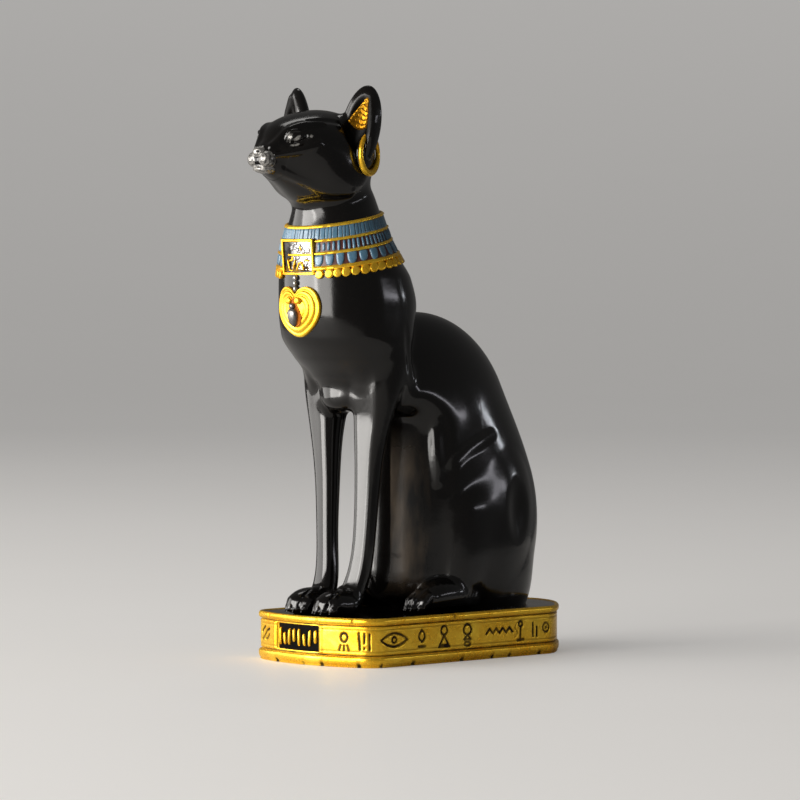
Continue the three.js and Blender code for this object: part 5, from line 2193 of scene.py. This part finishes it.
class Nodes:
    """Short ways to add shader nodes to a tree."""

    def __init__(self, tree: Tree) -> None:
        """Notes the tree."""
        self.tree = tree

    def feed(self, socket: Socket, value: object) -> None:
        """Links an input to an output, or gives it a constant.

        Args:
            socket: The input.
            value: An output to link, or the constant.
        """
        if isinstance(value, Socket):
            self.tree.links.new(value, socket)
        else:
            socket.default_value = value

    def fill(self, node: bpy.types.Node, values: dict[str | int, object]) -> None:
        """Feeds several inputs of a node, by name or number."""
        for key, value in values.items():
            self.feed(node.inputs[key], value)

    def add(
        self, kind: str, values: dict[str | int, object] | None = None, **settings: object,
    ) -> bpy.types.Node:
        """Adds a node.

        Args:
            kind: The node's type.
            values: Inputs by name or number: a constant, or an output to link.
            settings: Properties of the node.

        Returns:
            The node.
        """
        node = self.tree.nodes.new(kind)
        for key, value in settings.items():
            setattr(node, key, value)
        self.fill(node, values or {})
        return node

    def math(self, operation: str, a: object, b: object = 0.0, clamp: bool = False) -> Socket:
        """A math node's output."""
        return self.add("ShaderNodeMath", {0: a, 1: b}, operation=operation, use_clamp=clamp).outputs[0]

    def total(self, *parts: object) -> Socket:
        """The sum of several values.

        Args:
            parts: The values.

        Returns:
            Their sum.
        """
        out = parts[0]
        for part in parts[1:]:
            out = self.math("ADD", out, part)
        return out

    def times(self, *parts: object) -> Socket:
        """The product of several values.

        Args:
            parts: The values.

        Returns:
            Their product.
        """
        out = parts[0]
        for part in parts[1:]:
            out = self.math("MULTIPLY", out, part)
        return out

    def mix(self, factor: object, a: object, b: object) -> Socket:
        """A colour mix."""
        return self.add("ShaderNodeMix", {0: factor, 6: a, 7: b}, data_type="RGBA").outputs[2]

    def place(self) -> Socket:
        """The object's own coordinates."""
        return self.add("ShaderNodeTexCoord").outputs["Object"]

    def mark(self, name: str) -> Socket:
        """A mark that the mesh carries, from 0 to 1."""
        return self.add("ShaderNodeAttribute", attribute_name=name).outputs["Fac"]

    def noise(self, scale: object, detail: float = 3.0, rough: float = 0.5, at: object = None) -> Socket:
        """Noise from 0 to 1.

        Args:
            scale: Features in a metre.
            detail: Octaves.
            rough: Share of the fine octaves.
            at: Where it is read, if not on the object's own coordinates.

        Returns:
            The noise.
        """
        values = {
            "Vector": self.place() if at is None else at, "Scale": scale, "Detail": detail,
            "Roughness": rough,
        }
        return self.add("ShaderNodeTexNoise", values).outputs["Fac"]

    def span(self, value: object, low: float, high: float, start: float = 0.0, end: float = 1.0) -> Socket:
        """Maps a span of values onto another."""
        return self.add("ShaderNodeMapRange", dict(enumerate((value, low, high, start, end)))).outputs[0]


def new_group(name: str, inputs: dict[str, float], outputs: Sequence[str]) -> tuple[Nodes, bpy.types.Node]:
    """An empty node group.

    Args:
        name: The effect's name.
        inputs: Named values and what they are by default.
        outputs: Names of the values it gives.

    Returns:
        Its nodes, and the node that holds the inputs.
    """
    tree = bpy.data.node_groups.new(name, "ShaderNodeTree")
    for key, value in inputs.items():
        tree.interface.new_socket(key, in_out="INPUT", socket_type="NodeSocketFloat").default_value = value
    for key in outputs:
        tree.interface.new_socket(key, in_out="OUTPUT", socket_type="NodeSocketFloat")
    nodes = Nodes(tree)
    return nodes, nodes.add("NodeGroupInput")


def wash_group() -> Tree:
    """Dark wash that settles in the low places of painted relief.

    Returns:
        The effect.
    """
    nodes, given = new_group("brushed_wash", {"Amount": 1.0, "Speckle": 0.5}, ["Mask"])
    broad = nodes.span(nodes.noise(160, 4, 0.55), 0.35, 0.75)
    fine = nodes.span(nodes.noise(900, 5, 0.7), 0.52, 0.74)
    settled = nodes.times(nodes.mark("wash"), nodes.total(nodes.times(broad, 0.4), 0.8))
    specks = nodes.times(fine, broad, given.outputs["Speckle"])
    mask = nodes.math("MULTIPLY", nodes.math("MAXIMUM", settled, specks), given.outputs["Amount"], clamp=True)
    nodes.add("NodeGroupOutput", {"Mask": mask})
    return nodes.tree


def cast_group() -> Tree:
    """The slight unevenness of cast resin under paint, as a height, and a tone that wanders.

    Returns:
        The effect.
    """
    nodes, given = new_group("cast_surface", {"Broad": 60.0, "Fine": 700.0}, ["Height", "Tone"])
    broad = nodes.noise(given.outputs["Broad"], 2.0)
    fine = nodes.noise(given.outputs["Fine"], 4.0)
    tone = nodes.span(nodes.total(broad, nodes.times(fine, 0.5)), 0.5, 1.0)
    nodes.add("NodeGroupOutput", {"Height": nodes.total(broad, nodes.times(fine, 0.12)), "Tone": tone})
    return nodes.tree


def new_material(name: str) -> tuple[bpy.types.Material, Nodes, bpy.types.Node]:
    """A material, its nodes and its shader.

    Args:
        name: Its name.

    Returns:
        The material, its nodes and its shader.
    """
    material = bpy.data.materials.new(name)
    material.use_nodes = True
    return material, Nodes(material.node_tree), material.node_tree.nodes["Principled BSDF"]


@dataclass(frozen=True)
class Paint:
    """A hand-brushed paint: two tones of one colour, a wash in its low places, and its sheen."""

    name: str
    colour: Triple
    deep: Triple
    wash: Triple
    metallic: float
    rough: float
    coat: float
    speckle: float = 0.5

    def make(self, groups: dict[str, Tree]) -> bpy.types.Material:
        """Builds the material.

        Args:
            groups: The shared effects.

        Returns:
            The material.
        """
        material, nodes, shader = new_material(self.name)
        surface = nodes.add("ShaderNodeGroup", node_tree=groups["cast"])
        settled = nodes.add("ShaderNodeGroup", node_tree=groups["wash"])
        settled.inputs["Speckle"].default_value = self.speckle
        tone, mask = surface.outputs["Tone"], settled.outputs["Mask"]
        colour = nodes.mix(tone, (*self.deep, 1), (*self.colour, 1))
        rough = nodes.span(tone, 0, 1, self.rough * 1.25, self.rough * 0.8)
        bump = nodes.add(
            "ShaderNodeBump", {"Height": surface.outputs["Height"], "Distance": 0.0002, "Strength": 0.6},
        )
        nodes.fill(shader, {
            "Base Color": nodes.mix(mask, colour, (*self.wash, 1)),
            "Roughness": nodes.total(rough, nodes.times(mask, 0.2)),
            "Coat Weight": self.coat,
            "Coat Roughness": 0.12,
            "Normal": bump.outputs["Normal"],
        })
        if self.metallic:
            bare = nodes.math("SUBTRACT", 1.0, mask)
            nodes.fill(shader, {"Metallic": nodes.times(bare, self.metallic), "Specular IOR Level": 0.08})
        return material


@dataclass(frozen=True)
class Lacquer:
    """Black gloss lacquer: silver paint on marked places, with partly painted highlights in the eyes' silver
    strokes, thin in the ears, and a painted warm reflection on the flank.
    """

    name: str = "black_lacquer_gloss"
    rough: float = 0.14
    index: float = 1.46
    coat: float = 0.1
    sheen: float = 0.5

    def make(self, groups: dict[str, Tree]) -> bpy.types.Material:
        """Builds the material.

        Args:
            groups: The shared effects.

        Returns:
            The material.
        """
        material, nodes, shader = new_material(self.name)
        surface = nodes.add("ShaderNodeGroup", node_tree=groups["cast"])
        nodes.fill(surface, {"Broad": 45.0, "Fine": 520.0})
        tone = surface.outputs["Tone"]
        dull, flank = nodes.mark("dull"), nodes.mark("painted_reflection")
        mottled = nodes.span(nodes.noise(640, 5, 0.7), 0.42, 0.58)
        brushed = nodes.total(nodes.times(mottled, 0.8), 0.2)
        # Silver paint on the muzzle; on the eyes the silver strokes are partly painted highlights.
        silver = nodes.math("MULTIPLY", nodes.mark("silver"), brushed, clamp=True)
        dust = nodes.times(nodes.span(nodes.noise(2600, 2, 0.6), 0.7, 0.76), 0.5)
        streaks = nodes.add(
            "ShaderNodeMapping", {"Vector": nodes.place(), "Scale": (1.0, 1.0, 0.28)},
        ).outputs["Vector"]
        # Painted reflection: a streaked warm brown patch on the flank behind the front legs.
        painted_reflection_streaks = nodes.times(flank, nodes.span(nodes.noise(120.0, 4.0, at=streaks), 0.36, 0.64))
        colour = nodes.mix(tone, (0.0010, 0.0008, 0.0007, 1), (0.0024, 0.0019, 0.0016, 1))
        colour = nodes.mix(dust, colour, (0.05, 0.047, 0.045, 1))
        # The painted reflection's warm brown, mixed into the black.
        colour = nodes.mix(painted_reflection_streaks, colour, (0.055, 0.040, 0.026, 1))
        rough = nodes.span(tone, 0, 1, self.rough * 1.3, self.rough * 0.85)
        roughened = nodes.total(nodes.times(silver, 0.2), nodes.times(dull, 0.25), nodes.times(flank, 0.22))
        bump = nodes.add(
            "ShaderNodeBump", {"Height": surface.outputs["Height"], "Distance": 0.0005, "Strength": 0.32},
        )
        nodes.fill(shader, {
            "Base Color": nodes.mix(silver, colour, (0.36, 0.35, 0.33, 1)),
            "Metallic": nodes.times(silver, 0.85),
            "Roughness": nodes.total(rough, roughened),
            "IOR": self.index,
            "Specular IOR Level": nodes.span(dull, 0, 1, self.sheen, 0.08),
            "Coat Weight": nodes.span(dull, 0, 1, self.coat, 0),
            "Coat Roughness": 0.06,
            "Normal": bump.outputs["Normal"],
        })
        return material


class Finishes:
    """All the paints of the figure."""

    def __init__(self) -> None:
        """Builds the shared effects and the materials."""
        groups = {"wash": wash_group(), "cast": cast_group()}
        brown = (0.012, 0.0045, 0.0015)

        def made(slot: Slot, finish: Paint | Lacquer) -> Finish:
            """Makes a finish for a slot."""
            return Finish(slot, finish.make(groups))

        self.black = made(Slot.BLACK, Lacquer())
        self.matt = made(Slot.BLACK, Lacquer("black_recess", 0.5, 1.3, 0.0, 0.06))
        self.gold = made(Slot.GOLD, Paint(
            "gold_paint_washed", (1.0, 0.66, 0.06), (0.74, 0.36, 0.012), brown, 0.74, 0.24, 0.0, 0.8,
        ))
        # A darker copy of the gold paint, used only for the patch in the ear's hollow.
        self.dark_gold = made(Slot.GOLD, Paint(
            "gold_paint_dark", (0.40, 0.20, 0.012), (0.20, 0.08, 0.003), brown, 0.9, 0.36, 0.0, 0.9,
        ))
        self.amber = made(Slot.GOLD, Paint(
            "amber_wash", (0.42, 0.13, 0.01), (0.22, 0.05, 0.005), brown, 0.35, 0.35, 0.1,
        ))
        self.blue = made(Slot.BLUE, Paint(
            "blue_paint_satin", (0.075, 0.165, 0.24), (0.035, 0.085, 0.135), (0.006, 0.013, 0.026), 0.0,
            0.33, 0.3, 0.8,
        ))
        self.red = made(Slot.RED, Paint(
            "red_brown_paint", (0.13, 0.028, 0.018), (0.07, 0.015, 0.010), (0.02, 0.006, 0.005), 0.0,
            0.35, 0.2, 0.3,
        ))
        self.steel = made(Slot.SILVER, Paint(
            "dark_silver_paint", (0.22, 0.21, 0.20), (0.10, 0.095, 0.09), (0.012, 0.010, 0.010), 0.85,
            0.3, 0.1, 0.4,
        ))
        self.silver = made(Slot.SILVER, Paint(
            "silver_paint_washed", (0.42, 0.42, 0.41), (0.22, 0.22, 0.22), (0.006, 0.005, 0.005), 0.8,
            0.32, 0.0, 1.5,
        ))


@dataclass(frozen=True)
class Panel:
    """One soft light panel round the figure; angles in degrees, sizes in metres."""

    name: str
    azimuth: float
    reach: float
    low: float
    high: float
    width: float
    radiance: float
    colour: Triple

    def build(self) -> None:
        """Hangs the panel, facing the figure."""
        a = math.radians(self.azimuth)
        at = Vector((math.cos(a) * self.reach, math.sin(a) * self.reach, (self.low + self.high) / 2))
        data = bpy.data.lights.new(self.name, "AREA")
        data.shape = "RECTANGLE"
        data.size, data.size_y = self.width, self.high - self.low
        data.energy = self.radiance * math.pi * data.size * data.size_y
        data.color = self.colour
        light = placed(self.name, data)
        light.location = at
        light.rotation_euler = (Vector((0, 0, 0.13)) - at).to_track_quat("-Z", "Y").to_euler()
        light.visible_camera = False


@dataclass(frozen=True)
class Studio:
    """The pale floor, the soft lights and the camera of the photograph."""

    azimuth: float = 45.7
    distance: float = 2100.0
    height: float = 184.4
    focal: float = 4666.7
    principal: tuple[float, float] = (406.07, 246.45)
    picture: float = 800.0
    sensor: float = 36.0
    panels: tuple[Panel, ...] = (
        Panel("window_left", -152, 2.2, -0.35, 1.15, 1.62, 3.0, (1.0, 0.97, 0.93)),
        Panel("window_middle", -113, 2.2, -0.35, 1.15, 1.62, 12.0, (1.0, 0.97, 0.93)),
        Panel("window_right", -84, 2.2, -0.35, 1.15, 1.2, 7.0, (1.0, 0.97, 0.93)),
        Panel("far_window", 66.5, 2.2, 0.37, 0.45, 0.2, 12.0, (0.90, 0.93, 1.0)),
        Panel("side_window", 36, 2.2, 0.33, 0.43, 1.2, 6.0, (0.93, 0.92, 1.0)),
        Panel("overhead", 150, 0.9, 1.7, 2.1, 1.0, 3.0, (1.0, 0.98, 0.95)),
    )

    def build(self) -> None:
        """Makes the stage, the lights and the camera."""
        self._floor()
        for panel in self.panels:
            panel.build()
        world = bpy.data.worlds.new("pale_room")
        bpy.context.scene.world = world
        world.use_nodes = True
        bpy.context.scene.view_settings.view_transform = "Standard"
        world.node_tree.nodes["Background"].inputs["Color"].default_value = (0.80, 0.78, 0.76, 1)
        world.node_tree.nodes["Background"].inputs["Strength"].default_value = 0.14
        self._camera()

    def _floor(self) -> None:
        """A pale strip that leaves off beside the figure and sweeps up far behind it."""
        a = math.radians(self.azimuth)
        c, s = math.cos(a), math.sin(a)
        columns, sweep = 7, 7.0
        profile = [(away, 0.0) for away in (-0.75, -0.3, 0.0, 0.6, 1.4, 2.6)]
        profile += [
            (2.6 + sweep * math.sin(t), sweep * (1 - math.cos(t)))
            for t in np.linspace(0.08, 1.15, 14)
        ]
        rows = []
        for away, level in profile:
            wider = max(0.0, away)
            for across in np.linspace(-0.45 - 0.22 * wider, 0.26 + 0.12 * wider, columns):
                rows.append((across * c - away * s, across * s + away * c, level))
        grid = np.arange(len(rows)).reshape(len(profile), columns)
        quads = np.stack([g.ravel() for g in (grid[:-1, :-1], grid[:-1, 1:], grid[1:, 1:], grid[1:, :-1])], 1)
        mesh = bpy.data.meshes.new("floor")
        mesh.from_pydata(rows, [], quads.tolist())
        for face in mesh.polygons:
            face.use_smooth = True
        floor = placed("floor", mesh)
        material, nodes, shader = new_material("pale_floor_painted_glow")
        seen = nodes.add("ShaderNodeLightPath").outputs["Is Camera Ray"]
        rise = nodes.add("ShaderNodeSeparateXYZ", {"Vector": nodes.place()}).outputs["Z"]
        nodes.fill(shader, {
            "Base Color": nodes.mix(
                nodes.noise(3.0, 3, 0.55), (0.58, 0.57, 0.556, 1), (0.61, 0.60, 0.586, 1),
            ),
            "Roughness": 0.55,
            "Emission Color": (1.0, 0.985, 0.965, 1),
            # Painted light: seen by the camera the floor glows, more strongly higher up the sweep.
            "Emission Strength": nodes.times(seen, nodes.span(rise, 0.0, 2.4, 0.24, 0.5)),
        })
        floor.data.materials.append(material)

    def _camera(self) -> None:
        """The photograph's viewpoint: a long lens, a little above the necklace."""
        a = math.radians(self.azimuth)
        look = Vector((-math.sin(a), math.cos(a), 0))
        right = Vector((math.cos(a), math.sin(a), 0))
        up = Vector((0, 0, 1))
        data = bpy.data.cameras.new("camera")
        data.sensor_width = self.sensor
        data.lens = self.focal * self.sensor / self.picture
        data.clip_end = 50.0
        camera = placed("camera", data)
        camera.location = (Vector((0, ROW_SHIFT, self.height)) - look * self.distance) * MM
        across, down = (self.picture / 2 - c for c in self.principal)
        aim = look * self.focal + right * across - up * down
        camera.rotation_euler = aim.to_track_quat("-Z", "Y").to_euler()
        bpy.context.scene.camera = camera


def main() -> None:
    """Builds the figure piece by piece, then the studio."""
    logging.basicConfig(level=logging.INFO, format="%(message)s")
    finishes = Finishes()
    cat = Cat()
    Studio().build()
    Casting().build(cat, finishes.black)
    neck = Necklace(cat)
    Collar().build(neck, finishes)
    Plaque().build(neck, finishes)
    HeartPendant().build(neck, finishes)
    EarTrim().build(cat, finishes)
    Plinth().build(finishes)


if __name__ == "__main__":
    main()
